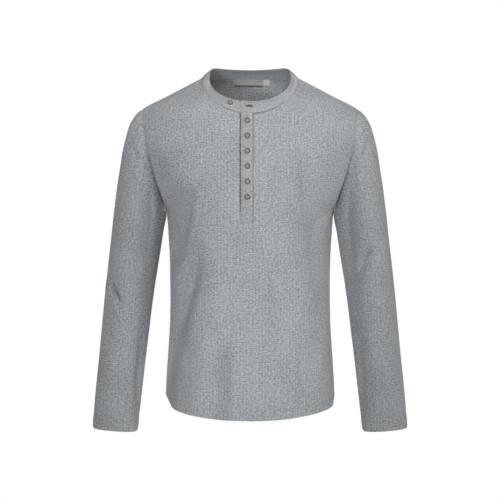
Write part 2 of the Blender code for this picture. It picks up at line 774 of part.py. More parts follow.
def band_lift(signed, x):
    """Height of the band over the neck seam where its ends lap."""
    over = lap_raise(np.minimum(x, SLIT_LEFT))
    sunk_x = OVERLAP_EDGE - BAND_SUNK
    fade_under = ease((x - BAND_SINK_X) / (sunk_x - BAND_SINK_X))
    under = (lap_raise(np.maximum(x, sunk_x)) - BAND_CLOTH - SEAM_GAP) * fade_under
    in_front = np.abs(x) < BAND_END_REACH
    lift = np.where((signed < 0.5) & in_front & (x < SLIT_LEFT), over, 0.0)
    return np.where((signed > 1.5) & in_front, under, lift)


def band_face(seam, normal, rim):
    """Outward direction of the band, square to the seam and to its own height."""
    up = unit(rim - seam)
    tangent = unit(np.gradient(seam, axis=0))
    face = unit(np.cross(tangent, up))
    return up, np.where(np.sum(face * normal, axis=-1, keepdims=True) < 0, -face, face)


def resample_values(length, values, places):
    return np.stack([np.interp(places, length, values[:, axis]) for axis in range(3)], axis=-1)


def make_neckband(front, back, material):
    seam, normal, turn = neck_seam(front, back)
    rim = rim_point(turn)
    up, face = band_face(seam, normal, rim)
    lift = band_lift(turn, seam[:, 0])[:, None]
    shared = unit(face + normal)
    foot = seam + towards_neck(seam, normal) * SEAM_GAP / 2
    outer = []
    inner = []
    for share in BAND_SHARES:
        centre = foot + (rim - foot) * share
        way = unit(shared * (1 - share) + face * share) if share < 0.5 else face
        bulge = BAND_BULGE * math.sin(math.pi * share)
        edge = BAND_CLOTH * BAND_EDGE_ROUNDING if share > BAND_EDGE_SHARE else 0.0
        outer.append(centre + way * (lift + bulge - edge))
        inner.append(centre + way * (lift + bulge - BAND_CLOTH + edge))
    crest = rim + up * BAND_CREST + face * (lift - BAND_CLOTH / 2)
    loop = outer + [crest] + inner[::-1]
    sections = np.stack(loop, axis=1)
    return make_strip("neckband", sections, material)


def button_profile():
    """Radius and height of a button's turned outline, from the middle of its back round its rim."""
    r, h = BUTTON_RADIUS, BUTTON_HEIGHT
    return (
        (r * 0.80, 0.0), (r * 0.97, h * 0.30), (r, h * 0.60), (r * 0.93, h),
        (r * 0.78, h), (r * 0.62, h * 0.66),
    )


def make_button(name, centre, axis, material):
    """A disc with a raised rim, standing on the cloth along its axis."""
    axis = unit(axis)
    right = unit(np.cross(np.array([0.0, 0.0, 1.0]), axis))
    up = np.cross(axis, right)
    segments = 16
    turn = np.arange(segments) * 2 * math.pi / segments
    rings = []
    for radius, height in button_profile():
        ring = centre + axis * height
        rings.append(ring + radius * (np.cos(turn)[:, None] * right + np.sin(turn)[:, None] * up))
    return make_strip(name, np.stack(rings), material)


def overlap_seat(x, z):
    """Point and normal of the overlap's outer side."""
    reach = 0.002
    corners = []
    for step_x, step_z in ((0, 0), (reach, 0), (0, reach)):
        place_x = np.array(x + step_x)
        place_z = np.array(z + step_z)
        point, _ = front_point(place_x, place_z, lap_raise(place_x))
        corners.append(point)
    normal = unit(np.cross(corners[1] - corners[0], corners[2] - corners[0]))
    return corners[0], normal


def band_seat(x, front, back):
    """Point and normal of the neckband's outer side, half way up, at a place across the front."""
    seam, normal, turn = neck_seam(front, back)
    near = turn > 1.5 if x < 0 else turn < 0.5
    order = np.flatnonzero(near & (np.sign(seam[:, 0]) == np.sign(x)))
    order = order[np.argsort(seam[order, 0])]
    rim = rim_point(turn)
    middle = seam + (rim - seam) * 0.5
    face = band_face(seam, normal, rim)[1]
    at = [np.interp(x, middle[order, 0], middle[order, axis]) for axis in range(3)]
    way = [np.interp(x, middle[order, 0], face[order, axis]) for axis in range(3)]
    way = unit(np.array(way))
    return np.array(at) + way * BAND_BULGE, way


def make_label(name, label, inner, material):
    """A flat rectangle of tape on the inner side of the back, hung just below the neck seam."""
    upper, lower = inner[-1], inner[-2]
    columns = [x for x in upper[:, 0] if label["left"] + 0.002 < x < label["right"] - 0.002]
    across = np.array([label["left"], *sorted(columns), label["right"]])
    order = np.argsort(upper[SHOULDER_COLUMNS:-SHOULDER_COLUMNS, 0]) + SHOULDER_COLUMNS
    top = resample_values(upper[order, 0], upper[order], across)
    below = resample_values(lower[order, 0], lower[order], across)
    down = unit(below - top)
    inward = -torso_normal((top + below) / 2, 1)
    sections = []
    for drop, height in ((0.0, 0.0), (1.0, 0.0), (1.0, 1.0), (0.0, 1.0)):
        place = top + down * (LABEL_DROP + label["drop"] * drop)
        sections.append(place + inward * (LABEL_CLEARANCE + LABEL_HANG * drop + LABEL_CLOTH * height))
    return make_strip(name, np.stack(sections, axis=1), material)


def clear_scene():
    for old in list(bpy.data.objects):
        bpy.data.objects.remove(old, do_unlink=True)


def main():
    clear_scene()
    knit = cloth_material("heather_knit", COLOURS["knit"], 0.9)
    trim_knit = cloth_material("placket_knit", COLOURS["knit_dark"], 0.9)
    button = cloth_material("button_resin", COLOURS["button"], 0.45)
    tape = cloth_material("label_tape", COLOURS["label"], 0.7)
    tab = cloth_material("tab_tape", COLOURS["tab"], 0.7)

    front = panel_grid(-1)
    back = panel_grid(1)
    loop = armhole_loop(front, back)
    sleeve = sleeve_grid(loop)
    body_normals = armhole_normals(loop, len(loop))
    sleeve_normals = closed_normals(sleeve)[0]
    make_panel("front_panel", -1, front, sleeve_normals, knit)
    back_inner = make_panel("back_panel", 1, back, sleeve_normals, knit)
    make_sleeve("sleeve_left", 1, sleeve, body_normals, knit)
    make_sleeve("sleeve_right", -1, sleeve, body_normals, knit)
    make_neckband(front, back, knit)
    make_placket_strip("placket_overlap", OVERLAP_EDGE, SLIT_LEFT - SEAM_GAP, 0.0, trim_knit)
    under_lift = -CLOTH - SEAM_GAP
    make_placket_strip(
        "placket_underlap", SLIT_RIGHT + SEAM_GAP, SLIT_LEFT - SEAM_GAP, under_lift, trim_knit
    )
    for index in range(BUTTON_COUNT):
        seat, normal = overlap_seat(BUTTON_X, BUTTON_TOP_Z - index * BUTTON_PITCH)
        make_button(f"button_{index + 1}", seat + normal * BUTTON_CLEARANCE, normal, button)
    seat, normal = band_seat(NECK_BUTTON_X, front, back)
    make_button("button_neck", seat + normal * BUTTON_CLEARANCE, normal, button)
    make_label("neck_label", NECK_LABEL, back_inner, tape)
    make_label("size_tab", SIZE_TAB, back_inner, tab)


main()
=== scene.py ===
import math

import bmesh
import bpy
import numpy as np
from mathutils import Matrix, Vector


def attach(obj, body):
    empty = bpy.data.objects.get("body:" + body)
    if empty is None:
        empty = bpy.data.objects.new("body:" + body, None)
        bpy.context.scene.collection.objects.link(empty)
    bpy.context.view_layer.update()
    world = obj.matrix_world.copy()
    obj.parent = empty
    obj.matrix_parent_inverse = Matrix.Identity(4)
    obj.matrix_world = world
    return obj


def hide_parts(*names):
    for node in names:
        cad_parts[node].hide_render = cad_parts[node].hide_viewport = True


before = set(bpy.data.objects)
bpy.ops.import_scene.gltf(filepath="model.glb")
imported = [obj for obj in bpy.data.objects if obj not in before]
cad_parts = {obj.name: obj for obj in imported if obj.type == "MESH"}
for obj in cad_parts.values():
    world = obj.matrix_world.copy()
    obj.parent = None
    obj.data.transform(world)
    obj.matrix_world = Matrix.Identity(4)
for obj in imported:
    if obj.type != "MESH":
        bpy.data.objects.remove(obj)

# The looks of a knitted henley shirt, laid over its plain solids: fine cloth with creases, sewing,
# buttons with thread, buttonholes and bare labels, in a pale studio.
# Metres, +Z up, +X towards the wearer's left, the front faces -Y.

bl_info = {
    "name": "Henley Shirt",
    "version": (1, 0, 0),
    "blender": (4, 5, 0),
    "location": "3D View > Sidebar > Henley",
    "description": "Knitted cloth, sewing, buttons and labels of a henley shirt",
    "category": "Add Mesh",
}

SURFACES = {}

# Heights on the body, and the neckline
HEM_Z = -0.6485
HEM_SAG = 0.0150
UNDERARM_Z = -0.2640
SHOULDER_Z = -0.0526
NECK_POINT_Z = 0.0110
SLIT_SAG = 0.0150
FRONT_NECK_DROP = 0.0740
BACK_NECK_RISE = 0.0055
FRONT_NECK_ROUNDNESS = 1.85

# Placket, measured across from the middle
SLIT_RIGHT = -0.0160
SLIT_LEFT = 0.0070
OVERLAP_EDGE = -0.0169
LAP_RAISE = 0.0017
SEAM_GAP = 0.0003
PLACKET_SWELL = 0.00035
PLACKET_SEWN_SHARE = 0.8
PLACKET_EDGE_POWER = 14
PLACKET_EDGE_THIN = 0.02
SEAT_REACH = 0.002

# Buttons
BUTTON_RADIUS = 0.0058
BUTTON_HEIGHT = 0.0024
BUTTON_X = -0.0054
BUTTON_TOP_Z = -0.0790
BUTTON_PITCH = 0.0295
BUTTON_COUNT = 6
BUTTON_TURN = 0.35
NECK_BUTTON_X = -0.0390
NECK_BUTTON_SHARE = 0.5
BUTTON_CLEARANCE = 0.00045

# Mesh counts, and the distances of the fine rows beside a seam and in a turned edge
FINE = 240
NECK_FINE = 400
NECK_COLUMNS = 34
SHOULDER_COLUMNS = 36
SLIT_COLUMNS = 8
LOWER_ROWS = 116
UPPER_ROWS = 66
SLEEVE_ROWS = 230
SEAM_STEPS = np.array([0.0050, 0.0028, 0.0012, 0.0])
SLIT_STEPS = np.array([0.0, 0.0012, 0.0020, 0.0028, 0.0036, 0.0048])
SLIT_FIRST = 0.0064
TURN_DEPTH = 0.0200
TURN_STEPS = np.array([0.0, 0.0008, 0.0060, 0.0120, 0.0168, 0.0185, 0.0200])
TURN_STITCH = 5
TURN_STEP = 0.0018
TURN_RAISE = 0.0006
SEAM_COLUMN = len(SEAM_STEPS) - 1
SLIT_COLUMN = NECK_COLUMNS + SHOULDER_COLUMNS + len(SLIT_STEPS) + SEAM_COLUMN
ARMHOLE_ROW = len(TURN_STEPS) + LOWER_ROWS - 1
PLACKET_COLUMNS = 17
PLACKET_ROWS = 121
PLACKET_STITCH = 2
PLACKET_BOX_ROW = 17

# The body's rings, from the hem up
TORSO_COLUMNS = ("height", "half_width", "front", "back", "middle", "squareness")
TORSO = (
    (-0.6700, 0.1732, 0.1310, 0.1240, 0.0000, 2.35),
    (-0.6100, 0.1716, 0.1285, 0.1210, 0.0000, 2.35),
    (-0.5450, 0.1674, 0.1245, 0.1150, 0.0000, 2.35),
    (-0.4800, 0.1634, 0.1205, 0.1080, 0.0000, 2.35),
    (-0.4200, 0.1624, 0.1205, 0.1050, 0.0000, 2.35),
    (-0.3500, 0.1636, 0.1260, 0.1080, 0.0000, 2.35),
    (-0.3000, 0.1664, 0.1305, 0.1140, 0.0000, 2.35),
    (-0.2640, 0.1692, 0.1325, 0.1180, 0.0000, 2.32),
    (-0.2320, 0.1830, 0.1325, 0.1210, 0.0010, 2.20),
    (-0.1950, 0.2000, 0.1310, 0.1230, 0.0025, 2.10),
    (-0.1550, 0.2180, 0.1260, 0.1230, 0.0045, 2.00),
    (-0.1150, 0.2370, 0.1180, 0.1195, 0.0070, 2.00),
    (-0.0850, 0.2370, 0.1080, 0.1140, 0.0090, 2.00),
    (-0.0680, 0.2300, 0.1010, 0.1100, 0.0100, 2.00),
    (-0.0526, 0.2182, 0.0935, 0.1060, 0.0110, 2.00),
    (-0.0250, 0.1670, 0.0740, 0.0975, 0.0150, 2.00),
    (0.0000, 0.1202, 0.0500, 0.0870, 0.0190, 2.00),
    (0.0110, 0.0996, 0.0380, 0.0810, 0.0200, 2.00),
    (0.0300, 0.0640, 0.0180, 0.0700, 0.0200, 2.00),
)
ARMHOLE_COLUMNS = ("height", "out")
ARMHOLE = (
    (-0.2640, 0.1692),
    (-0.2320, 0.1786),
    (-0.1905, 0.1905),
    (-0.1600, 0.1992),
    (-0.1120, 0.2092),
    (-0.0526, 0.2182),
)

# The sleeve's rings, from the armhole to the end
SLEEVE_COLUMNS = ("outer_x", "outer_z", "inner_x", "inner_z", "depth", "middle", "squareness")
SLEEVE = (
    (0.2182, -0.0526, 0.1692, -0.2640, 0.0600, 0.0050, 2.0),
    (0.2263, -0.0576, 0.1694, -0.2652, 0.0612, 0.0052, 2.0),
    (0.2355, -0.0687, 0.1697, -0.2668, 0.0622, 0.0056, 2.0),
    (0.2447, -0.0858, 0.1701, -0.2688, 0.0630, 0.0062, 2.0),
    (0.2519, -0.1100, 0.1706, -0.2712, 0.0636, 0.0070, 2.0),
    (0.2586, -0.1382, 0.1712, -0.2742, 0.0640, 0.0078, 2.0),
    (0.2638, -0.1706, 0.1720, -0.2780, 0.0642, 0.0084, 2.0),
    (0.2692, -0.2029, 0.1730, -0.2830, 0.0642, 0.0088, 2.0),
    (0.2736, -0.2354, 0.1747, -0.2905, 0.0636, 0.0088, 2.0),
    (0.2779, -0.2690, 0.1771, -0.3030, 0.0625, 0.0084, 2.0),
    (0.2822, -0.3085, 0.1806, -0.3260, 0.0600, 0.0074, 2.0),
    (0.2869, -0.3493, 0.1864, -0.3630, 0.0565, 0.0050, 2.0),
    (0.2924, -0.3983, 0.1939, -0.4100, 0.0525, 0.0010, 2.0),
    (0.2970, -0.4470, 0.2002, -0.4575, 0.0485, -0.0050, 2.0),
    (0.3014, -0.4990, 0.2060, -0.5085, 0.0440, -0.0130, 2.0),
    (0.3056, -0.5510, 0.2120, -0.5600, 0.0395, -0.0220, 2.0),
    (0.3102, -0.5990, 0.2170, -0.6070, 0.0345, -0.0300, 2.0),
    (0.3142, -0.6465, 0.2222, -0.6540, 0.0300, -0.0370, 2.1),
    (0.3168, -0.6890, 0.2269, -0.6960, 0.0275, -0.0430, 2.2),
)
ARMHOLE_BLEND = 0.12

# Upper edge of the neckband
RIM_HALF_WIDTH = 0.0820
RIM_MIDDLE = 0.0030
RIM_FRONT = 0.0700
RIM_BACK = 0.0740
RIM_LAG = 0.085
RIM_COLUMNS = ("y", "height")
RIM = (
    (-0.0670, -0.0390),
    (-0.0440, -0.0225),
    (-0.0144, -0.0005),
    (0.0030, 0.0152),
    (0.0200, 0.0280),
    (0.0350, 0.0330),
    (0.0480, 0.0340),
    (0.0770, 0.0328),
)
BAND_BULGE = 0.0012
BAND_SINK_X = -0.0450
BAND_SUNK = 0.0012
BAND_END_REACH = 0.0500
RIM_FINE = 800
OVERLAP_TURN = 0.5
UNDERLAP_TURN = 1.5
BAND_COLUMNS = 300
BAND_SHARES = (0.0, 0.04, 0.09, 0.16, 0.26, 0.38, 0.50, 0.62, 0.74, 0.84, 0.91, 0.96, 0.985)
BAND_CREST = 0.0003
BAND_SEAM_SHARE = 0.07
BAND_STITCH_SHARE = 0.16
BAND_STITCH_WIDTH = 0.035
BAND_STITCH_DIP = 0.00025
BAND_ROUNDING = 0.30
BAND_ROUND_START = 0.90
BAND_ROUND_RUN = 0.1
BAND_END_DIP = 0.0018
BAND_END_DIP_WIDTH = 0.0026

# Grooves beside the armhole and neck seams: shares of the seam groove, and where they grow and fade
SEAM_DIP_WIDTH = 0.0022
ARMHOLE_GROOVE = 0.2
ARMHOLE_GROOVE_MORE = 0.5
ARMHOLE_GROOVE_Z = -0.12
ARMHOLE_GROOVE_RUN = 0.09
NECK_GROOVE_BEHIND = 0.3
NECK_GROOVE_FRONT = 3.6
NECK_GROOVE_SLOPE = 26
NECK_GROOVE_FADE = 0.012

# Dips of the front along the overlap's free edge and its sewn edge, and of the cloth at the underarm
LAP_DIP = 0.0045
LAP_DIP_BASE = 1.05
LAP_DIP_MORE = 0.15
LAP_DIP_ASIDE = 0.0002
LAP_DIP_WIDTH = 0.0022
LAP_DIP_INNER_WIDTH = 0.0030
LAP_DIP_FOOT = 0.012
LAP_DIP_FADE = 0.030
SEWN_DIP = 0.0011
SEWN_DIP_BASE = 0.45
SEWN_DIP_MORE = 1.15
SEWN_DIP_WIDTH = 0.0013
SEWN_DIP_DROP = 0.13
SEWN_DIP_FADE = 0.006
SLIT_RUN = 0.12
UNDERARM_DIP = 0.0200
UNDERARM_DIP_WIDTH = 0.0100
UNDERARM_DIP_SHARE = 0.7
UNDERARM_DIP_Z = -0.200
UNDERARM_DIP_RUN = 0.040
UNDERARM_DIP_BELOW = 0.016
UNDERARM_DIP_END = 0.020

# Turned edges, the hem's corners, and how the sleeves hang inside
TURN_ROLL = 0.0005
TURN_ROLL_WIDTH = 0.0012
TURN_STITCH_DIP = 0.0004
TURN_STITCH_WIDTH = 0.0011
HEM_LEVEL = 0.19
HEM_LEVEL_REACH = 0.09
HEM_TUCK = 0.0060
HEM_LIFT = 0.0030
HEM_CORNER_HEIGHT = 0.024
HEM_CORNER_WIDTH = 0.030
SLEEVE_END_DROP = 0.0030
SLEEVE_END_REACH = 0.045
INNER_FALL = {-1: 1.0, 1: 0.65}
INNER_FALL_START = 0.45
INNER_FALL_ROUND = 0.70
INNER_FALL_EARLY = 0.20
INNER_FALL_BLEND = 0.45
INNER_FALL_TOP_Z = -0.20
INNER_FALL_TOP_RUN = 0.06
INNER_FALL_LOW_Z = -0.58
INNER_FALL_LOW_RUN = 0.12

# Main folds: straight from the upper to the lower end; a depth below zero is a trough
FOLD_COLUMNS = ("top_x", "top_z", "low_x", "low_z", "width", "depth")
FRONT_FOLDS = (
    (-0.1100, -0.2300, -0.1500, -0.3900, 0.0170, -0.0055),
    (-0.1560, -0.1700, -0.1620, -0.3900, 0.0280, -0.0120),
    (-0.0930, -0.3100, -0.2000, -0.6000, 0.0210, -0.0110),
    (-0.1600, -0.4800, -0.1780, -0.7200, 0.0260, -0.0080),
    (-0.0560, -0.3100, -0.1050, -0.6300, 0.0220, 0.0035),
    (-0.0620, -0.4600, -0.0760, -0.7400, 0.0180, -0.0110),
    (-0.0300, -0.4700, -0.0360, -0.7600, 0.0130, 0.0030),
    (0.1120, -0.1300, 0.1280, -0.4300, 0.0230, -0.0050),
    (0.1450, -0.1700, 0.1560, -0.4600, 0.0260, -0.0090),
    (0.0480, -0.2800, 0.0400, -0.5600, 0.0140, 0.0022),
    (0.1080, -0.4500, 0.1020, -0.7600, 0.0190, -0.0035),
    (0.1480, -0.2500, 0.1250, -0.3500, 0.0120, -0.0040),
)
BACK_FOLDS = (
    (-0.1320, -0.1500, -0.0900, -0.4400, 0.0220, -0.0050),
    (0.1360, -0.1700, 0.0980, -0.4700, 0.0210, -0.0055),
    (-0.0300, -0.1000, 0.0100, -0.3600, 0.0260, 0.0030),
    (-0.0750, -0.3900, -0.1000, -0.7600, 0.0200, -0.0040),
    (0.0460, -0.4200, 0.0560, -0.7600, 0.0190, -0.0045),
    (-0.0080, -0.4700, -0.0120, -0.7600, 0.0170, 0.0035),
    (0.1300, -0.3700, 0.0500, -0.4300, 0.0140, -0.0035),
    (-0.1350, -0.3500, -0.0500, -0.4050, 0.0130, -0.0030),
)
SLEEVE_FRONT_FOLDS = (
    (0.2470, -0.1080, 0.2080, -0.1750, 0.0110, -0.0040),
    (0.2620, -0.1500, 0.1980, -0.2550, 0.0130, -0.0035),
    (0.1740, -0.1700, 0.1900, -0.4400, 0.0240, -0.0170),
    (0.2480, -0.3230, 0.2020, -0.3900, 0.0110, -0.0070),
    (0.2000, -0.3700, 0.2200, -0.7000, 0.0170, -0.0110),
    (0.2950, -0.3850, 0.2480, -0.4500, 0.0100, -0.0040),
    (0.2380, -0.4200, 0.2250, -0.5200, 0.0110, -0.0030),
    (0.2900, -0.5200, 0.2600, -0.6300, 0.0120, 0.0028),
)
SLEEVE_BACK_FOLDS = (
    (0.2560, -0.1300, 0.2000, -0.2200, 0.0130, -0.0040),
    (0.2860, -0.3400, 0.2200, -0.3950, 0.0110, -0.0045),
    (0.2920, -0.4000, 0.2250, -0.4300, 0.0105, -0.0040),
    (0.2800, -0.4700, 0.2600, -0.5900, 0.0130, -0.0030),
)
FOLD_END_SHARE = 0.35
PANEL_FOLD_FADE = 0.035
SLEEVE_FOLD_FADE = 0.050

# Finer creases: bow is how far the middle swings aside, lean how much softer the side towards +X is
CREASE_COLUMNS = ("top_x", "top_z", "low_x", "low_z", "width", "depth", "bow", "lean")
FRONT_CREASES = (
    (-0.0950, -0.2000, -0.1420, -0.4000, 0.0115, 0.0042, 0.0, -0.20),
    (-0.1080, -0.2020, -0.1760, -0.4000, 0.0165, -0.0090, 0.0, -0.30),
    (-0.0660, -0.2900, -0.1430, -0.6200, 0.0085, 0.0024, 0.0, -0.20),
    (-0.0940, -0.2850, -0.1720, -0.6000, 0.0190, -0.0090, 0.0, -0.08),
    (-0.0600, -0.4300, -0.0680, -0.6000, 0.0160, 0.0056, 0.0, 0.0),
    (-0.0650, -0.3300, -0.1400, -0.6300, 0.0110, 0.0016, 0.008, 0.20),
    (-0.0560, -0.4650, -0.0700, -0.7000, 0.0130, -0.0016, 0.004, -0.10),
    (-0.0290, -0.4900, -0.0335, -0.6900, 0.0060, 0.0018, -0.002, -0.40),
    (-0.0920, -0.5600, -0.0990, -0.6900, 0.0080, -0.0014, 0.002, 0.2),
    (-0.1340, -0.5700, -0.1400, -0.6800, 0.0080, -0.0016, 0.002, 0.2),
    (0.0446, -0.3200, 0.0455, -0.5000, 0.0045, 0.0011, 0.001, 0.0),
    (0.0320, -0.3300, 0.0300, -0.5200, 0.0070, -0.0010, 0.001, 0.0),
    (0.0160, -0.4200, 0.0100, -0.6200, 0.0090, -0.0010, -0.003, 0.0),
    (0.0730, -0.5300, 0.0700, -0.6950, 0.0090, -0.0018, 0.003, 0.2),
    (0.1020, -0.1150, 0.1340, -0.3600, 0.0150, -0.0034, -0.006, 0.35),
    (0.0840, -0.1300, 0.1120, -0.3700, 0.0110, 0.0014, -0.004, 0.0),
    (0.1220, -0.3100, 0.1450, -0.4600, 0.0110, -0.0026, -0.003, 0.2),
    (0.1330, -0.4300, 0.1280, -0.6300, 0.0080, -0.0018, 0.004, -0.2),
    (0.1010, -0.5400, 0.1080, -0.6950, 0.0090, -0.0018, 0.002, 0.1),
    (-0.1780, -0.1200, -0.1420, -0.2300, 0.0060, 0.0015, 0.003, 0.2),
    (-0.1700, -0.2280, -0.1180, -0.2010, 0.0060, -0.0019, 0.003, 0.2),
    (-0.1640, -0.2560, -0.1250, -0.2700, 0.0052, -0.0016, -0.003, 0.1),
    (0.1720, -0.2320, 0.1210, -0.1990, 0.0062, -0.0019, -0.003, -0.2),
    (0.1640, -0.2600, 0.1180, -0.2820, 0.0055, -0.0016, 0.003, 0.0),
    (-0.1590, -0.3900, -0.1130, -0.4230, 0.0058, -0.0014, 0.003, 0.0),
    (-0.1600, -0.4500, -0.1290, -0.4700, 0.0050, -0.0012, -0.002, 0.0),
    (0.1580, -0.3780, 0.1140, -0.4120, 0.0060, -0.0015, -0.003, 0.0),
    (0.1590, -0.4360, 0.1280, -0.4600, 0.0050, -0.0012, 0.002, 0.0),
    (-0.0150, -0.2760, -0.0260, -0.3350, 0.0045, -0.0010, 0.002, 0.2),
    (0.0110, -0.2760, 0.0250, -0.3300, 0.0045, -0.0009, -0.002, 0.0),
    (-0.0860, -0.0400, -0.1150, -0.1150, 0.0085, -0.0012, 0.004, 0.0),
    (0.0900, -0.0380, 0.1190, -0.1080, 0.0085, -0.0012, -0.004, 0.0),
    (-0.0420, -0.0780, -0.0700, -0.1250, 0.0060, -0.0007, 0.003, 0.0),
    (0.0500, -0.0760, 0.0800, -0.1300, 0.0065, -0.0007, -0.003, 0.0),
)
BACK_CREASES = (
    (-0.1250, -0.1900, -0.1050, -0.3600, 0.0080, -0.0019, 0.005, 0.3),
    (0.1330, -0.1850, 0.1070, -0.3700, 0.0080, -0.0020, -0.005, -0.3),
    (-0.0640, -0.1400, -0.0420, -0.2700, 0.0070, 0.0010, 0.004, 0.0),
    (0.0570, -0.1300, 0.0480, -0.2500, 0.0075, -0.0010, -0.004, 0.0),
    (0.1520, -0.3420, 0.0700, -0.3880, 0.0060, -0.0018, 0.006, 0.2),
    (-0.1540, -0.3330, -0.0620, -0.3820, 0.0062, -0.0017, -0.006, 0.0),
    (0.1500, -0.3900, 0.0350, -0.4400, 0.0070, -0.0016, 0.005, 0.0),
    (-0.1480, -0.3950, -0.0300, -0.4480, 0.0068, -0.0017, -0.005, 0.2),
    (0.1180, -0.4500, 0.0200, -0.4780, 0.0058, 0.0010, 0.002, 0.0),
    (-0.1300, -0.4560, -0.0480, -0.4820, 0.0055, -0.0011, -0.003, 0.0),
    (-0.0790, -0.4700, -0.0920, -0.6700, 0.0080, -0.0017, 0.004, 0.3),
    (0.0480, -0.4900, 0.0560, -0.6780, 0.0076, -0.0018, -0.003, -0.3),
    (-0.0210, -0.5200, -0.0260, -0.6600, 0.0060, -0.0009, 0.002, 0.0),
    (0.1130, -0.5200, 0.1200, -0.6750, 0.0075, -0.0013, 0.003, 0.0),
    (-0.1310, -0.5300, -0.1380, -0.6700, 0.0070, -0.0012, -0.002, 0.0),
    (-0.1660, -0.2500, -0.1180, -0.2360, 0.0056, -0.0016, 0.002, 0.0),
    (0.1660, -0.2480, 0.1160, -0.2290, 0.0058, -0.0016, -0.002, 0.0),
)
RIGHT_SLEEVE_CREASES = (
    (0.3040, -0.3740, 0.2480, -0.4680, 0.0042, -0.0110, -0.004, -0.30),
    (0.3080, -0.3900, 0.2520, -0.4840, 0.0060, 0.0036, -0.004, 0.0),
    (0.2480, -0.1060, 0.2110, -0.1640, 0.0070, -0.0020, 0.003, 0.2),
    (0.2410, -0.1500, 0.2000, -0.2150, 0.0066, -0.0017, -0.003, 0.0),
    (0.2160, -0.3200, 0.1900, -0.3900, 0.0064, -0.0022, 0.002, 0.0),
    (0.2240, -0.2500, 0.1980, -0.3300, 0.0080, -0.0018, 0.002, 0.0),
    (0.2620, -0.4850, 0.2330, -0.5400, 0.0060, -0.0015, 0.003, 0.0),
    (0.2960, -0.5300, 0.2700, -0.6000, 0.0065, -0.0014, 0.002, 0.2),
    (0.2450, -0.5900, 0.2600, -0.6600, 0.0066, -0.0013, 0.0, 0.0),
    (0.2640, -0.2300, 0.2450, -0.3100, 0.0085, -0.0012, 0.003, 0.0),
)
LEFT_SLEEVE_CREASES = (
    (0.2480, -0.3180, 0.2020, -0.3950, 0.0085, -0.0062, 0.003, 0.45),
    (0.2560, -0.3300, 0.2180, -0.4000, 0.0060, 0.0013, 0.003, 0.0),
    (0.2240, -0.3900, 0.2000, -0.4500, 0.0070, -0.0020, -0.002, 0.0),
    (0.2230, -0.2450, 0.1960, -0.3250, 0.0080, -0.0016, 0.002, 0.0),
    (0.2430, -0.1080, 0.2080, -0.1700, 0.0070, -0.0018, 0.003, 0.2),
    (0.2540, -0.1750, 0.2130, -0.2350, 0.0066, -0.0015, 0.003, 0.0),
    (0.2870, -0.3950, 0.2590, -0.4350, 0.0058, -0.0016, 0.002, 0.0),
    (0.2780, -0.4700, 0.2440, -0.5300, 0.0060, -0.0016, 0.003, 0.2),
    (0.2960, -0.5500, 0.2680, -0.6150, 0.0062, -0.0014, 0.002, 0.0),
    (0.2340, -0.5750, 0.2440, -0.6500, 0.0064, -0.0012, 0.0, 0.0),
    (0.2620, -0.2500, 0.2400, -0.3150, 0.0080, -0.0011, 0.003, 0.0),
)
SLEEVE_BACK_CREASES = (
    (0.2870, -0.3450, 0.2150, -0.3980, 0.0058, -0.0019, 0.004, 0.2),
    (0.2930, -0.3980, 0.2200, -0.4320, 0.0055, -0.0018, 0.004, 0.0),
    (0.2800, -0.4350, 0.2400, -0.4650, 0.0050, -0.0012, 0.002, 0.0),
    (0.2540, -0.1320, 0.2080, -0.2050, 0.0064, -0.0014, 0.003, 0.0),
    (0.2860, -0.5200, 0.2620, -0.6000, 0.0065, -0.0011, 0.002, 0.0),
)
CREASE_TOP_SHARE = 0.3
CREASE_LOW_SHARE = 0.42
CREASE_TOP_WIDTH = 0.8
CREASE_WIDER = 0.5
CREASE_LONG_WAVE = 0.22
CREASE_SHORT_WAVE = 0.12
PANEL_CREASE_FADE = 0.014
SLEEVE_CREASE_FADE = 0.018
SLEEVE_SIDE_BLEND = 0.6

# Labels inside the back neck
NECK_LABEL = {"left": -0.0335, "right": 0.0272, "drop": 0.0150}
SIZE_TAB = {"left": 0.0288, "right": 0.0428, "drop": 0.0125}
LABEL_CLOTH = 0.0010
LABEL_CLEARANCE = 0.0012
LABEL_DROP = 0.0011
LABEL_HANG = 0.0008
# Height of the painted shadow along the label's lower edge
LABEL_SHADOW_BORDER = 0.0022
LABEL_CURL = 0.0005
LABEL_REACH = 0.03
LABEL_FINE = 80
LABEL_COLUMNS = 41
LABEL_ROWS = 21

# Knit: how far its cells wander, the size of a loop, the depth of its relief, and the bands' share
CELL_WANDER_ACROSS = 0.0034
CELL_WANDER_UP = 0.0030
LOOP_WIDTH = 0.00095
LOOP_HEIGHT = 0.0013
KNIT_DEPTH = 0.00075
BAND_KNIT_DEPTH = 0.00045
BAND_CELL_SHARE = 0.62
BAND_MOTTLE = 0.75

# Knit: how fine its grains are, how much each lightens the cloth (the cells' share darkens the sunken cells
# with painted shade), and how much each raises it
FIBRE_SCALE = 1150.0
FLECK_SCALE = 285.0
PATCH_SCALE = 130.0
CLOUD_SCALE = 16.0
WANDER_ACROSS_SCALE = 46.0
WANDER_UP_SCALE = 52.0
TONE_BASE = 0.52
TONE = {"fibre": 0.9, "fleck": 2.20, "patch": 0.35, "cloud": 0.32, "cell": 0.20, "loops": 0.06}
RELIEF = {"cell": 0.42, "loops": 0.12, "fleck": 0.18, "fibre": 0.14}

# Tape: from one thread to the next, the relief of its weave, the edge of its painted shadow border and its
# darker threads
WEFT_PITCH = 0.00042
WARP_PITCH = 0.00060
WEAVE_DEPTH = 0.00012
SHADOW_BORDER_SHARPNESS = 3000
TAPE_CLOUD_SCALE = 240.0
TAPE_DARK = 0.74

# Thread: how fine its strands are each way, the fuzz on it, and how far it stands off the cloth
STRAND_ACROSS = 5200.0
STRAND_ALONG = 4200.0
FUZZ_SCALE = 900.0
STRAND_DEPTH = 0.00012
STRAND_DARK = 0.62
THREAD_LIFT = 0.0001

# Button resin: its marbling, its turning marks and their relief
MARBLE_SCALE = 520.0
TURNING_MARKS = 9000.0
TURNING_DEPTH = 0.00006

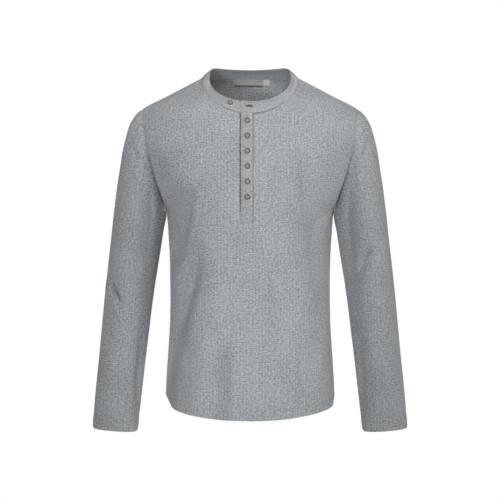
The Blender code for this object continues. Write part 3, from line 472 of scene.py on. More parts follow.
# Stitches: size, how far each is sunk, and how thin its ends are
STITCH_RADIUS = 0.00034
STITCH_LIFT = 0.00012
STITCH_STEPS = 6
STITCH_START = 0.08
STITCH_RUN = 0.84
STITCH_SUNK = 0.75
STITCH_END_SHARE = 0.35

# Buttons: mesh counts, the stitch holes, and the bars of thread through them
BUTTON_FACE_ROWS = 26
BUTTON_CORNERS = 72
HOLE_REACH = 0.0019
HOLE_RADIUS = 0.00055
HOLE_EDGE = 0.00035
HOLE_DEPTH = 0.0010
BAR_LIFT = 0.00100
BAR_ARCH = 0.00095
BAR_RADIUS = 0.00019
BAR_STRAND_ASIDE = 0.00030
BAR_STRAND_DROP = 0.00012

# Buttonholes: place above the button's middle and length, the ring of thread, and the band's own hole with
# the sheet of painted shade in its slit
FIRST_HOLE = (0.0036, 0.0160)
OTHER_HOLES = (0.0008, 0.0112)
HOLE_WIDTH = 0.0024
HOLE_CORNERS = 120
HOLE_RIBS = 40
HOLE_RIB_SHARE = 0.16
HOLE_THREAD_WIDTH = 0.00075
HOLE_THREAD_HEIGHT = 0.00036
HOLE_TILT_REACH = 0.004
BAND_HOLE_X = -0.0016
BAND_HOLE_AHEAD_X = 0.0030
BAND_HOLE_SHARE = 0.52
BAND_HOLE_END = 0.35
BAND_HOLE_LENGTH = 0.0140
BAND_HOLE_WIDTH = 0.0056
BAND_SLIT_LENGTH = 0.0120
BAND_SLIT_WIDTH = 0.0036

# Studio: the camera, the soft lights and the floor
CAMERA_PLACE = (0.0, -2.6, -0.175)
CAMERA_AIM = (0.0, 0.0, -0.337)
CAMERA_LENS = 92.2
CAMERA_SENSOR = 36.0
SHIRT_MIDDLE = (0.0, 0.0, -0.25)
CAMERA_NEAR = 0.05
CAMERA_FAR = 60.0

# Soft lights: name, setting, place, width, height, aim, spread in degrees
LIGHTS = (
    ("key_softbox", "key", (-0.3, -2.8, -0.5), 0.5, 1.2, SHIRT_MIDDLE, 16.0),
    ("key_left_softbox", "key_left", (-0.9, -2.6, -0.6), 0.5, 1.2, SHIRT_MIDDLE, 16.0),
    ("key_top_softbox", "key_top", (0.0, -2.3, 1.3), 0.5, 1.2, SHIRT_MIDDLE, 16.0),
    ("top_softbox", "top", (0.0, -1.4, 2.0), 1.2, 1.0, SHIRT_MIDDLE, 180.0),
    ("far_left_softbox", "far_left", (-1.81, -0.84, 1.33), 0.9, 1.3, SHIRT_MIDDLE, 180.0),
    ("right_softbox", "right", (1.41, -1.41, 1.33), 0.9, 1.3, SHIRT_MIDDLE, 180.0),
    ("side_softbox", "side", (2.32, -1.08, 0.11), 0.9, 1.3, SHIRT_MIDDLE, 180.0),
    ("back_softbox", "back", (0.0, 3.0, 0.9), 2.0, 1.6, SHIRT_MIDDLE, 180.0),
    ("sleeve_strip", "sleeve", (-1.8, -1.3, 1.2), 0.14, 1.0, (-0.265, 0.0, -0.37), 6.0),
    ("shoulder_strip", "shoulders", (0.0, -1.8, 1.6), 0.9, 0.15, (0.0, 0.0, -0.06), 5.0),
    ("collar_light", "collar", (-0.45, -1.9, 1.3), 0.1, 0.1, (0.05, 0.08, 0.035), 5.0),
)
FLOOR_REACH = 2.4
FLOOR_Z = -1.5
FLOOR_COLOUR = (0.85, 0.85, 0.85)
WHITE = (1.0, 1.0, 1.0)


def length_setting(name, description, default):
    return bpy.props.FloatProperty(
        name=name, description=description, default=default, subtype="DISTANCE", unit="LENGTH"
    )


def share_setting(name, description):
    return bpy.props.FloatProperty(name=name, description=description, default=1.0, subtype="FACTOR")


def colour_setting(name, description, default):
    return bpy.props.FloatVectorProperty(
        name=name, description=description, default=default, size=3, min=0.0, max=1.0, subtype="COLOR"
    )


def power_setting(name, description, default):
    return bpy.props.FloatProperty(name=name, description=description, default=default, unit="POWER")


class HENLEY_sizes(bpy.types.PropertyGroup):
    """Sizes of the cloth and its sewing."""

    cloth: length_setting("Cloth", "Thickness of the knit", 0.0014)
    band_cloth: length_setting("Band cloth", "Thickness of the doubled neckband", 0.0018)
    folds: share_setting("Folds", "Share of the main folds' depth")
    creases: share_setting("Creases", "Share of the fine creases' depth")
    groove: length_setting("Seam groove", "How deep the cloth dips at a seam", 0.0010)
    waffle_width: length_setting("Waffle width", "Width of one cell of the knit", 0.0062)
    waffle_height: length_setting("Waffle height", "Height of one cell of the knit", 0.0040)
    stitch: length_setting("Stitch", "Length of one stitch", 0.0027)
    stitch_pitch: length_setting("Stitch pitch", "From one stitch to the next", 0.0035)


class HENLEY_colours(bpy.types.PropertyGroup):
    """Linear colours of the cloth, thread, buttons and labels, and of the painted shade in the band's
    buttonhole and along the label's lower edge.
    """

    knit_light: colour_setting("Knit, light fibres", "Lightest yarn of the knit", (0.605, 0.633, 0.655))
    knit_dark: colour_setting("Knit, dark fibres", "Darkest yarn of the knit", (0.20, 0.213, 0.222))
    thread: colour_setting("Thread", "Sewing thread", (0.36, 0.37, 0.38))
    hole_thread: colour_setting("Buttonhole thread", "Thread round the buttonholes", (0.44, 0.385, 0.395))
    # The buttonhole thread darkened with painted shade, for the ring round the band's hole
    band_hole_shaded_thread: colour_setting("Band buttonhole", "Thread round the band's hole", (0.24, 0.20, 0.215))
    # Near-black sheet in the band buttonhole's slit: painted shade in the opening
    slit_thread: colour_setting("Slit", "Thread ends inside the band's buttonhole", (0.075, 0.06, 0.067))
    # The label's near-black lower stitching; the same colour paints the shadow along the label's lower edge
    label_thread: colour_setting("Label thread", "Thread and lower border of the label", (0.05, 0.038, 0.042))
    button_rim: colour_setting("Button rim", "Raised ring of a button", (0.098, 0.084, 0.092))
    button_face: colour_setting("Button face", "Dished middle of a button", (0.33, 0.295, 0.305))
    label: colour_setting("Label", "Woven neck label", (0.43, 0.402, 0.411))
    tab: colour_setting("Tab", "Woven size tab", (0.70, 0.70, 0.70))


class HENLEY_light(bpy.types.PropertyGroup):
    """Strength of the studio lights."""

    key: power_setting("Key", "Gridded softbox low beside the camera", 0.10)
    key_left: power_setting("Key left", "Gridded softbox low, left of the camera", 0.82)
    key_top: power_setting("Key top", "Gridded softbox above the camera", 0.36)
    top: power_setting("Top", "Large softbox high in front", 2.0)
    right: power_setting("Right", "High softbox towards the image's right edge", 18.5)
    side: power_setting("Side", "Level softbox beside the image's right edge", 13.0)
    far_left: power_setting("Far left", "High softbox beside the image's left edge", 5.0)
    sleeve: power_setting("Sleeve", "Gridded strip light on the sleeve at the image's left", 0.085)
    shoulders: power_setting("Shoulders", "Gridded strip light on the shoulders", 0.05)
    collar: power_setting("Collar", "Small gridded light into the neck opening", 0.015)
    back: power_setting("Back", "Large softbox behind the shirt", 80.0)
    room: bpy.props.FloatProperty(name="Room", description="Light from all round", default=0.03, min=0.0)


def smooth_curve(knots, values, at):
    """Cubic through the rows of a table that never swings past them: value = blend of the two rows
    and their slopes, each slope the harmonic mean of its neighbours' rises."""
    knots = np.asarray(knots, float)
    values = np.asarray(values, float)
    step = np.diff(knots)
    rise = np.diff(values) / step
    slope = np.empty(len(knots))
    slope[0], slope[-1] = rise[0], rise[-1]
    product = rise[1:] * rise[:-1]
    total = np.where(np.abs(rise[1:] + rise[:-1]) < 1e-12, 1.0, rise[1:] + rise[:-1])
    slope[1:-1] = np.where(product > 0, 2 * product / total, 0.0)
    at = np.asarray(at, float)
    k = np.clip(np.searchsorted(knots, at) - 1, 0, len(step) - 1)
    t = np.clip((at - knots[k]) / step[k], 0.0, 1.0)
    return (
        (2 * t**3 - 3 * t**2 + 1) * values[k]
        + (t**3 - 2 * t**2 + t) * step[k] * slope[k]
        + (3 * t**2 - 2 * t**3) * values[k + 1]
        + (t**3 - t**2) * step[k] * slope[k + 1]
    )


def table_value(table, columns, name, at, key=None):
    """One named column of a table, read along its first column or along key."""
    rows = np.array(table)
    return smooth_curve(rows[:, 0] if key is None else key, rows[:, columns.index(name)], at)


def torso_value(name, height):
    return table_value(TORSO, TORSO_COLUMNS, name, height)


def unit(vectors):
    return vectors / np.maximum(np.linalg.norm(vectors, axis=-1, keepdims=True), 1e-12)


def ease(value):
    """Soft step: 3t^2 - 2t^3."""
    t = np.clip(value, 0.0, 1.0)
    return t * t * (3 - 2 * t)


def torso_point(x, z, side):
    """Squared oval at height z: y = middle +- depth (1 - |x/width|^n)^(1/n)."""
    width = torso_value("half_width", z)
    depth = torso_value("front" if side < 0 else "back", z)
    square = torso_value("squareness", z)
    ratio = np.clip(np.abs(x) / width, 0.0, 1.0)
    y = torso_value("middle", z) + side * depth * (1 - ratio**square) ** (1 / square)
    return np.stack(np.broadcast_arrays(x, y, z), axis=-1)


def torso_level(point, side):
    """|x/width|^n + |(y - middle)/depth|^n: below 1 inside the body's rings."""
    x, y, z = point[..., 0], point[..., 1], point[..., 2]
    square = torso_value("squareness", z)
    depth = torso_value("front" if side < 0 else "back", z)
    through = np.maximum((y - torso_value("middle", z)) * side / depth, 0.0)
    return (np.abs(x) / torso_value("half_width", z)) ** square + through**square


def torso_normal(point, side):
    """Outward normal: the slope of the level round the point."""
    reach = 0.0005
    shifts = np.eye(3) * reach
    change = [torso_level(point + shift, side) - torso_level(point - shift, side) for shift in shifts]
    normal = np.stack(change, axis=-1)
    on_seam = np.abs(point[..., 1] - torso_value("middle", point[..., 2])) < 1e-6
    normal[..., 1] = np.where(on_seam, 0.0, normal[..., 1])
    return unit(normal)


def line_lengths(lines):
    """Distance along each line of points from its first one."""
    steps = np.linalg.norm(np.diff(lines, axis=1), axis=-1)
    return np.concatenate([np.zeros((len(lines), 1)), np.cumsum(steps, axis=1)], axis=1)


def places_on(values, targets):
    """Where each target falls along rising rows of values: the index before it and the share past."""
    targets = np.broadcast_to(targets, (len(values), np.shape(targets)[-1]))
    targets = np.clip(targets, values[:, :1], values[:, -1:])
    span = float(values.max() - values.min()) + 1.0
    row = np.arange(len(values))[:, None]
    index = np.searchsorted((values + row * span).ravel(), targets + row * span, side="right")
    index = np.clip(index - 1 - row * values.shape[1], 0, values.shape[1] - 2)
    low = np.take_along_axis(values, index, 1)
    high = np.take_along_axis(values, index + 1, 1)
    return index, (targets - low) / np.maximum(high - low, 1e-12)


def read_on(lines, index, share):
    """Points between the two corners that places_on names."""
    low = np.take_along_axis(lines, index[..., None], 1)
    high = np.take_along_axis(lines, index[..., None] + 1, 1)
    return low + (high - low) * share[..., None]


def resample_lines(lines, places):
    return read_on(lines, *places_on(line_lengths(lines), places))


def neckline(turn, side):
    """Half neckline: x = half sin^p, z falls or rises with cos^p; turn runs to a quarter circle."""
    half = torso_value("half_width", NECK_POINT_Z)
    if side < 0:
        power = 2 / FRONT_NECK_ROUNDNESS
        return half * np.sin(turn) ** power, NECK_POINT_Z - FRONT_NECK_DROP * np.cos(turn) ** power
    return half * np.sin(turn), NECK_POINT_Z + BACK_NECK_RISE * np.cos(turn) ** 2


def top_edge(side):
    """Half of a panel's upper edge: neckline from the middle, then the shoulder seam."""
    neck_x, neck_z = neckline(np.linspace(0, math.pi / 2, FINE), side)
    fall = np.sin(np.linspace(0, math.pi / 2, FINE)[1:])
    seam_z = NECK_POINT_Z + (SHOULDER_Z - NECK_POINT_Z) * fall
    return np.concatenate([neck_x, torso_value("half_width", seam_z)]), np.concatenate([neck_z, seam_z])


def level_lines(side, upper, rise):
    """Level lines of half a panel: x is the upper edge's x drawn in to this height's reach, z sags in
    the middle, and above the underarm rises with the square of the share towards the upper edge."""
    edge_x, edge_z = top_edge(side)
    rise = rise[:, None]
    if upper:
        end_z = UNDERARM_Z + (SHOULDER_Z - UNDERARM_Z) * rise
        reach = table_value(ARMHOLE, ARMHOLE_COLUMNS, "out", end_z)
        sag = SLIT_SAG * (1 - rise) ** 2
        lift = rise**2 * (edge_z - SHOULDER_Z)
    else:
        end_z = HEM_Z + (UNDERARM_Z - HEM_Z) * rise
        reach = torso_value("half_width", end_z)
        sag = HEM_SAG + (SLIT_SAG - HEM_SAG) * rise
        lift = 0.0
    x = edge_x * reach / edge_x[-1]
    return torso_point(x, end_z - sag * (1 - (x / reach) ** 2) + lift, side)


def half_panel(side, upper, rise, start_x):
    """Half level lines with even columns, fine ones beside the slit and the outer seam, and a column
    that runs to the neck point."""
    lines = level_lines(side, upper, rise)
    length = line_lengths(lines)
    index, share = places_on(lines[..., 0], np.array([[start_x]]))
    before, after = np.take_along_axis(length, index, 1), np.take_along_axis(length, index + 1, 1)
    start = before * (1 - share) + after * share
    slit = start_x > 0
    first = start + (SLIT_FIRST if slit else 0.0)
    last = length[:, -1:] - SEAM_STEPS[0]
    corner = (length[:, FINE - 1: FINE] - first) / (last - first)
    even = np.linspace(0, 1, NECK_COLUMNS + SHOULDER_COLUMNS + 1)[None]
    beyond = corner + (1 - corner) * np.linspace(0, 1, SHOULDER_COLUMNS + 1)[None, 1:]
    kept = np.concatenate([corner * np.linspace(0, 1, NECK_COLUMNS + 1)[None], beyond], axis=1)
    blend = rise[:, None] ** 2 if upper else 0.0
    places = first + (even + (kept - even) * blend) * (last - first)
    parts = [places, length[:, -1:] - SEAM_STEPS[1:]]
    if slit:
        parts.insert(0, start + SLIT_STEPS)
    return resample_lines(lines, np.concatenate(parts, axis=1))


def mirrored(points):
    return points * np.array([-1.0, 1.0, 1.0])


def whole_lines(side, upper, rise):
    """Level lines across a whole panel, from -X to +X; the front has columns at both slit edges."""
    if side > 0:
        half = half_panel(side, upper, rise, 0.0)
        return np.concatenate([mirrored(half)[:, :0:-1], half], axis=1)
    right = mirrored(half_panel(side, upper, rise, -SLIT_RIGHT))[:, ::-1]
    left = half_panel(side, upper, rise, SLIT_LEFT)
    across = np.linspace(SLIT_RIGHT, SLIT_LEFT, SLIT_COLUMNS + 1)[1:-1]
    lines = level_lines(side, upper, rise)
    middle = read_on(lines, *places_on(lines[..., 0], np.abs(across)[None]))
    middle = torso_point(np.broadcast_to(across, middle.shape[:2]), middle[..., 2], side)
    return np.concatenate([right, middle, left], axis=1)


def panel_grid(side):
    """Points of a panel, rows from the hem up, columns from -X to +X."""
    rise = (1 - np.cos(np.linspace(0, math.pi, FINE))) / 2
    lower = whole_lines(side, False, rise).transpose(1, 0, 2)
    upper = whole_lines(side, True, rise).transpose(1, 0, 2)
    low_end = line_lengths(lower)[:, -1:]
    high_end = line_lengths(upper)[:, -1:]
    start = TURN_DEPTH + TURN_STEP
    low = start + (low_end - start) * np.linspace(0, 1, LOWER_ROWS)[None]
    low = np.concatenate([np.broadcast_to(TURN_STEPS, (len(low), len(TURN_STEPS))), low], axis=1)
    high = (high_end - SEAM_STEPS[0]) * np.linspace(0, 1, UPPER_ROWS)[None]
    high = np.concatenate([high, high_end - SEAM_STEPS[1:]], axis=1)
    grid = np.concatenate([resample_lines(lower, low), resample_lines(upper, high)[:, 1:]], axis=1)
    return grid.transpose(1, 0, 2)


def fold_height(x, z, folds):
    """Sum of the folds: depth times exp(-(across/width)^2), fading softly at both ends."""
    height = np.zeros(np.broadcast(x, z).shape)
    for row in folds:
        fold = dict(zip(FOLD_COLUMNS, row))
        run_x, run_z = fold["low_x"] - fold["top_x"], fold["low_z"] - fold["top_z"]
        length = math.hypot(run_x, run_z)
        off_x, off_z = x - fold["top_x"], z - fold["top_z"]
        along = (off_x * run_x + off_z * run_z) / length**2
        across = (off_x * run_z - off_z * run_x) / length
        fade = ease(along / FOLD_END_SHARE) * ease((1 - along) / FOLD_END_SHARE)
        height = height + fold["depth"] * np.exp(-((across / fold["width"]) ** 2)) * fade
    return height


def crease_height(x, z, creases):
    """Sum of the creases: as a fold, but bowed, softer on one side and uneven along its length."""
    height = np.zeros(np.broadcast(x, z).shape)
    for place, row in enumerate(creases):
        crease = dict(zip(CREASE_COLUMNS, row))
        run_x, run_z = crease["low_x"] - crease["top_x"], crease["low_z"] - crease["top_z"]
        length = math.hypot(run_x, run_z)
        off_x, off_z = x - crease["top_x"], z - crease["top_z"]
        along = (off_x * run_x + off_z * run_z) / length**2
        across = (off_x * -run_z + off_z * run_x) / length - crease["bow"] * 4 * along * (1 - along)
        width = crease["width"] * np.where(across > 0, 1 + crease["lean"], 1 - crease["lean"])
        width = width * (CREASE_TOP_WIDTH + CREASE_WIDER * np.clip(along, 0, 1))
        uneven = 1 + CREASE_LONG_WAVE * np.sin(7.0 * along + 1.7 * place)
        uneven = uneven + CREASE_SHORT_WAVE * np.sin(17.0 * along + place)
        fade = ease(along / CREASE_TOP_SHARE) * ease((1 - along) / CREASE_LOW_SHARE)
        height = height + crease["depth"] * uneven * np.exp(-((across / width) ** 2)) * fade
    return height


def distance_to_edges(points):
    """Distance along the cloth from a panel's sides and from its upper edge."""
    across = line_lengths(points)
    sides = np.minimum(across, across[:, -1:] - across)
    up = line_lengths(points.transpose(1, 0, 2)).T
    return sides, up[-1:] - up


def seam_dip(distance, depth):
    """A rounded groove beside a seam: depth times exp(-(distance/width)^2)."""
    return -depth * np.exp(-((distance / SEAM_DIP_WIDTH) ** 2))


def armhole_groove(z):
    """Depth of the groove beside the armhole seam, faint near the shoulder."""
    below = ease((ARMHOLE_GROOVE_Z - z) / ARMHOLE_GROOVE_RUN)
    return sizes().groove * (ARMHOLE_GROOVE + ARMHOLE_GROOVE_MORE * below)


def neck_groove(x, side):
    """Share of the seam groove below the upper edge: faint behind and on the shoulders, and in front
    growing in a straight line towards +X."""
    if side > 0:
        return NECK_GROOVE_BEHIND
    half = torso_value("half_width", NECK_POINT_Z)
    in_neck = ease((half - np.abs(x)) / NECK_GROOVE_FADE)
    return NECK_GROOVE_BEHIND + (NECK_GROOVE_FRONT + NECK_GROOVE_SLOPE * x) * in_neck


def lap_dip(x, z):
    """The front sinks beside the free edge of the overlap, in a narrow groove that ends softly at the
    slit's foot, and a little at the overlap's sewn edge."""
    across = x - (OVERLAP_EDGE - LAP_DIP_ASIDE)
    along = ease((z - slit_bottom_z() - LAP_DIP_FOOT) / LAP_DIP_FADE)
    low = ease((BUTTON_TOP_Z - z) / SLIT_RUN)
    width = np.where(across > 0, LAP_DIP_INNER_WIDTH, LAP_DIP_WIDTH)
    free = LAP_DIP * (LAP_DIP_BASE + LAP_DIP_MORE * low) * along * np.exp(-((across / width) ** 2))
    return -free - sewn_dip(x, z) * ease((z - slit_bottom_z()) / SEWN_DIP_FADE)


def sewn_dip(x, z):
    """Groove along the overlap's sewn edge, deeper above: depth times exp(-(distance/width)^2)."""
    share = SEWN_DIP_BASE + SEWN_DIP_MORE * ease((z - BUTTON_TOP_Z + SEWN_DIP_DROP) / SLIT_RUN)
    return SEWN_DIP * share * np.exp(-(((x - SLIT_LEFT) / SEWN_DIP_WIDTH) ** 2))


def armpit_dip(points, distance):
    """The cloth sinks towards the middle along the lower part of the armhole seam, alike on both
    sides of it: depth times exp(-(distance/width)^2), growing towards the underarm."""
    z = points[..., 2]
    grown = ease((UNDERARM_DIP_Z - z) / UNDERARM_DIP_RUN)
    grown = grown * ease((z - UNDERARM_Z + UNDERARM_DIP_BELOW) / UNDERARM_DIP_END)
    back = UNDERARM_DIP * grown * np.exp(-((distance / UNDERARM_DIP_WIDTH) ** 2))
    back = np.minimum(back, UNDERARM_DIP_SHARE * np.abs(points[..., 1]))
    return np.array([0.0, 1.0, 0.0]) * (back * -np.sign(points[..., 1]))[..., None]


def turn_raise(distance):
    """Height of the second layer of a turned edge."""
    return TURN_RAISE * ease((TURN_DEPTH + TURN_STEP - distance) / TURN_STEP)


def turned_edge(distance):
    """A turned edge is two layers thick, rounded at its end, and dips where the stitching holds it."""
    raised = turn_raise(distance)
    rolled = -TURN_ROLL * np.exp(-((distance / TURN_ROLL_WIDTH) ** 2))
    from_stitch = (distance - TURN_STEPS[TURN_STITCH]) / TURN_STITCH_WIDTH
    return raised + rolled - TURN_STITCH_DIP * np.exp(-(from_stitch**2))


def grid_spread(points, middle, from_end=False):
    """Pattern coordinates in metres, as the piece lies flat: up each column from the first row, or
    back from the last, and across from the middle column, each step the square root of its length
    squared less its rise squared."""
    up = line_lengths(points.transpose(1, 0, 2)).T
    if from_end:
        up = up[-1:] - up
    step = np.linalg.norm(np.diff(points, axis=1), axis=-1)
    level = np.sqrt(np.maximum(step**2 - np.diff(up, axis=1) ** 2, (0.5 * step) ** 2))
    across = np.concatenate([np.zeros((len(points), 1)), np.cumsum(level, axis=1)], axis=1)
    return np.stack([across - across[:, middle: middle + 1], up], axis=-1)


def sizes():
    return bpy.context.scene.henley_sizes


def tints():
    return bpy.context.scene.henley_colours


def panel_surface(side):
    """Outer and inner side of a panel with its folds, creases, seam grooves and turned hem."""
    if side in SURFACES:
        return SURFACES[side]
    grid = panel_grid(side)
    normals = torso_normal(grid, side)
    x, z = grid[..., 0], grid[..., 2]
    to_sides, to_top = distance_to_edges(grid)
    edge = np.minimum(to_sides, to_top)
    folds = fold_height(x, z, FRONT_FOLDS if side < 0 else BACK_FOLDS)
    creases = crease_height(x, z, FRONT_CREASES if side < 0 else BACK_CREASES)
    height = sizes().folds * folds * ease(edge / PANEL_FOLD_FADE)
    height = height + sizes().creases * creases * ease(edge / PANEL_CREASE_FADE)
    height = height + seam_dip(to_sides, armhole_groove(z))
    height = height + seam_dip(to_top, sizes().groove * neck_groove(x, side))
    if side < 0:
        height = height + lap_dip(x, z)
    from_hem = line_lengths(grid.transpose(1, 0, 2)).T
    hem = turned_edge(from_hem)
    outer = grid + normals * (height + hem)[..., None] + armpit_dip(grid, to_sides)
    if side < 0:
        sunk = height * normals[..., 1] * ease(1 - from_hem / HEM_LEVEL_REACH)
        outer[..., 2] -= HEM_LEVEL * sunk
    corner = ease(1 - from_hem / HEM_CORNER_HEIGHT) ** 2 * np.exp(-((to_sides / HEM_CORNER_WIDTH) ** 2))
    outer = outer + np.stack([-np.sign(x) * HEM_TUCK * corner, 0 * x, HEM_LIFT * corner], axis=-1)
    thick = sizes().cloth + turn_raise(from_hem)
    inner = outer - normals * thick[..., None]
    spread = grid_spread(grid, grid.shape[1] // 2)
    SURFACES[side] = {"grid": grid, "outer": outer, "inner": inner, "normals": normals, "spread": spread}
    return SURFACES[side]


def armhole_loop():
    """The panels' armhole edges as one loop, from the shoulder down the front and up the back."""
    front = panel_surface(-1)["grid"][ARMHOLE_ROW:, -1][::-1]
    back = panel_surface(1)["grid"][ARMHOLE_ROW:, -1]
    return np.concatenate([front, back[1:-1]])


def sleeve_lengths():
    """Distance of each row of the sleeve's table from its first one, along the outer edge."""
    return line_lengths(np.array(SLEEVE)[None, :, :2])[0]


def sleeve_values(marks):
    """Every column of the sleeve's table, read at distances marks along its outer edge."""
    key = sleeve_lengths()
    return {name: table_value(SLEEVE, SLEEVE_COLUMNS, name, marks, key)[:, None] for name in SLEEVE_COLUMNS}


def sleeve_rings(marks, shares):
    """Squared ovals between the outer and the inner points of the table, read at distances marks
    along the outer edge; shares say how far round each half its points lie."""
    value = sleeve_values(marks)
    half_x = (value["outer_x"] - value["inner_x"]) / 2
    half_z = (value["outer_z"] - value["inner_z"]) / 2
    turn = np.linspace(0, math.pi, 361)[None]
    power = 2 / value["squareness"]
    along = np.sign(np.cos(turn)) * np.abs(np.cos(turn)) ** power
    through = np.abs(np.sin(turn)) ** power
    path = np.stack([along * half_x, -through * value["depth"], along * half_z], axis=-1)
    half = len(shares) // 2 + 1
    length = line_lengths(path)
    down = resample_lines(path, length[:, -1:] * shares[None, :half] * 2)
    rise = resample_lines(path, length[:, -1:] * (1 - shares[None, half:]) * 2) * np.array([1.0, -1.0, 1.0])
    middle_x = (value["outer_x"] + value["inner_x"]) / 2
    middle_z = (value["outer_z"] + value["inner_z"]) / 2
    middle = np.stack([middle_x, value["middle"], middle_z], axis=-1)
    return np.concatenate([down, rise], axis=1) + middle


def closed_normals(grid):
    """Outward normals of a tube from its neighbours along and round it."""
    around = np.roll(grid, -1, axis=1) - np.roll(grid, 1, axis=1)
    return unit(np.cross(around, np.gradient(grid, axis=0)))


def inner_fall(points, marks):
    """How far the front of a sleeve goes back to hang straight from its rounding to its inner edge:
    y = middle - depth sqrt(1 - start^2) ((1 - share) / (1 - start))^round, share being the way from
    the sleeve's middle to its inner edge."""
    value = sleeve_values(marks)
    half = (value["outer_x"] - value["inner_x"]) / 2
    share = np.clip(((value["outer_x"] + value["inner_x"]) / 2 - points[..., 0]) / half, -1, 1)
    start = INNER_FALL_START
    left = np.clip((1 - share) / (1 - start), 0, 2) ** INNER_FALL_ROUND
    straight = value["middle"] - value["depth"] * math.sqrt(1 - start**2) * left
    z = points[..., 2]
    below_top = ease((INNER_FALL_TOP_Z - z) / INNER_FALL_TOP_RUN)
    along = below_top * ease((z - INNER_FALL_LOW_Z) / INNER_FALL_LOW_RUN)
    return (straight - points[..., 1]) * ease((share - start + INNER_FALL_EARLY) / INNER_FALL_BLEND) * along


def sleeve_surface(side_x):
    """Outer and inner side of a sleeve; its first column runs along the seam under the arm."""
    name = ("sleeve", side_x)
    if name in SURFACES:
        return SURFACES[name]
    loop = armhole_loop()
    half = len(loop) // 2
    round_loop = line_lengths(np.concatenate([loop, loop[:1]])[None])[0]
    down, whole = round_loop[half], round_loop[-1]
    shares = np.where(
        np.arange(len(loop)) <= half,
        round_loop[:-1] / down / 2,
        0.5 + (round_loop[:-1] - down) / (whole - down) / 2,
    )
    end = sleeve_lengths()[-1]
    start = end - TURN_DEPTH - TURN_STEP
    marks = np.concatenate([
        SEAM_STEPS[:0:-1],
        np.linspace(SEAM_STEPS[0], start, SLEEVE_ROWS),
        end - TURN_STEPS[::-1],
    ])
    rings = sleeve_rings(marks, shares)
    decay = (1 - np.clip(marks / ARMHOLE_BLEND, 0, 1)) ** 2
    grid = rings + decay[:, None, None] * (loop - rings[0])
    normals = closed_normals(grid)
    x, z = grid[..., 0], grid[..., 2]
    seam = line_lengths(grid.transpose(1, 0, 2)).T
    in_front = ease(-normals[..., 1] / SLEEVE_SIDE_BLEND)
    behind = ease(normals[..., 1] / SLEEVE_SIDE_BLEND)
    own = LEFT_SLEEVE_CREASES if side_x > 0 else RIGHT_SLEEVE_CREASES
    folds = fold_height(x, z, SLEEVE_FRONT_FOLDS) * in_front + fold_height(x, z, SLEEVE_BACK_FOLDS) * behind
    creases = crease_height(x, z, own) * in_front + crease_height(x, z, SLEEVE_BACK_CREASES) * behind
    height = sizes().folds * folds * ease(seam / SLEEVE_FOLD_FADE)
    height = height + sizes().creases * creases * ease(seam / SLEEVE_CREASE_FADE)
    height = height + seam_dip(seam, armhole_groove(z))
    from_end = (end - marks)[:, None]
    outer = grid + normals * (height + turned_edge(from_end))[..., None] + armpit_dip(grid, seam)
    outer[..., 2] -= SLEEVE_END_DROP * in_front * ease(1 - from_end / SLEEVE_END_REACH)
    outer[..., 1] += INNER_FALL[side_x] * inner_fall(outer, marks) * (normals[..., 1] < 0)
    thick = sizes().cloth + turn_raise(from_end)
    inner = outer - normals * thick[..., None]
    closed = np.concatenate([np.roll(grid, -half, axis=1), grid[:, half: half + 1]], axis=1)
    spread = grid_spread(closed, closed.shape[1] // 2, from_end=True)
    found = {"grid": grid, "outer": outer, "inner": inner, "normals": normals}
    found = {key: np.roll(value, -half, axis=1) for key, value in found.items()}
    if side_x < 0:
        found = {key: mirrored(value) for key, value in found.items()}
    found["spread"] = spread
    SURFACES[name] = found
    return found


def finish_mesh(name, points, faces, spread, material, sharp=48.0):
    """A mesh object from vertices, faces of equal or mixed size and one pattern place a face corner."""
    mesh = bpy.data.meshes.new(name)
    mesh.from_pydata(points.tolist(), [], faces)
    layer = mesh.uv_layers.new(name="pattern")
    layer.data.foreach_set("uv", np.asarray(spread, np.float32).ravel())
    shell = bmesh.new()
    shell.from_mesh(mesh)
    bmesh.ops.recalc_face_normals(shell, faces=shell.faces[:])
    shell.to_mesh(mesh)
    shell.free()
    mesh.materials.append(material)
    mesh.shade_smooth()
    mesh.set_sharp_from_angle(angle=math.radians(sharp))
    made = bpy.data.objects.new(name, mesh)
    bpy.context.collection.objects.link(made)
    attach(made, "root")
    return made


def wall_mesh(name, surface, material, closed=False, gone=None):
    """A wall of cloth: the outer grid, the inner grid turned over behind it, and a rim along every
    open edge. gone is a pair of slices of cells to leave out."""
    outer, inner = surface["outer"], surface["inner"]
    rows, columns = outer.shape[:2]
    across = columns if closed else columns - 1
    cell = np.ones((rows - 1, across), bool)
    if gone is not None:
        cell[gone] = False
    padded = np.pad(cell, ((1, 1), (0, 0)))
    padded = np.pad(padded, ((0, 0), (1, 1)), mode="wrap" if closed else "constant")
    r, c = np.nonzero(cell)
    a, b, d, e = (r, c), (r, c + 1), (r + 1, c + 1), (r + 1, c)
    quads = [
        [(0, *a), (0, *b), (0, *d), (0, *e)],
        [(1, *e), (1, *d), (1, *b), (1, *a)],
    ]
    quads = [np.stack([np.stack(np.broadcast_arrays(*corner), -1) for corner in quad], 1) for quad in quads]
    for (step_r, step_c), first, second in (((-1, 0), a, b), ((0, 1), b, d), ((1, 0), d, e), ((0, -1), e, a)):
        bare = ~padded[r + 1 + step_r, c + 1 + step_c]
        p, q = (first[0][bare], first[1][bare]), (second[0][bare], second[1][bare])
        corners = [(0, *q), (0, *p), (1, *p), (1, *q)]
        quads.append(np.stack([np.stack(np.broadcast_arrays(*corner), -1) for corner in corners], 1))
    quads = np.concatenate(quads)
    layer, row, column = quads[..., 0], quads[..., 1], quads[..., 2]
    index = layer * rows * columns + row * columns + column % columns
    used, index = np.unique(index, return_inverse=True)
    points = np.concatenate([outer.reshape(-1, 3), inner.reshape(-1, 3)])[used]
    faces = index.reshape(row.shape).tolist()
    return finish_mesh(name, points, faces, surface["spread"][row, column], material)


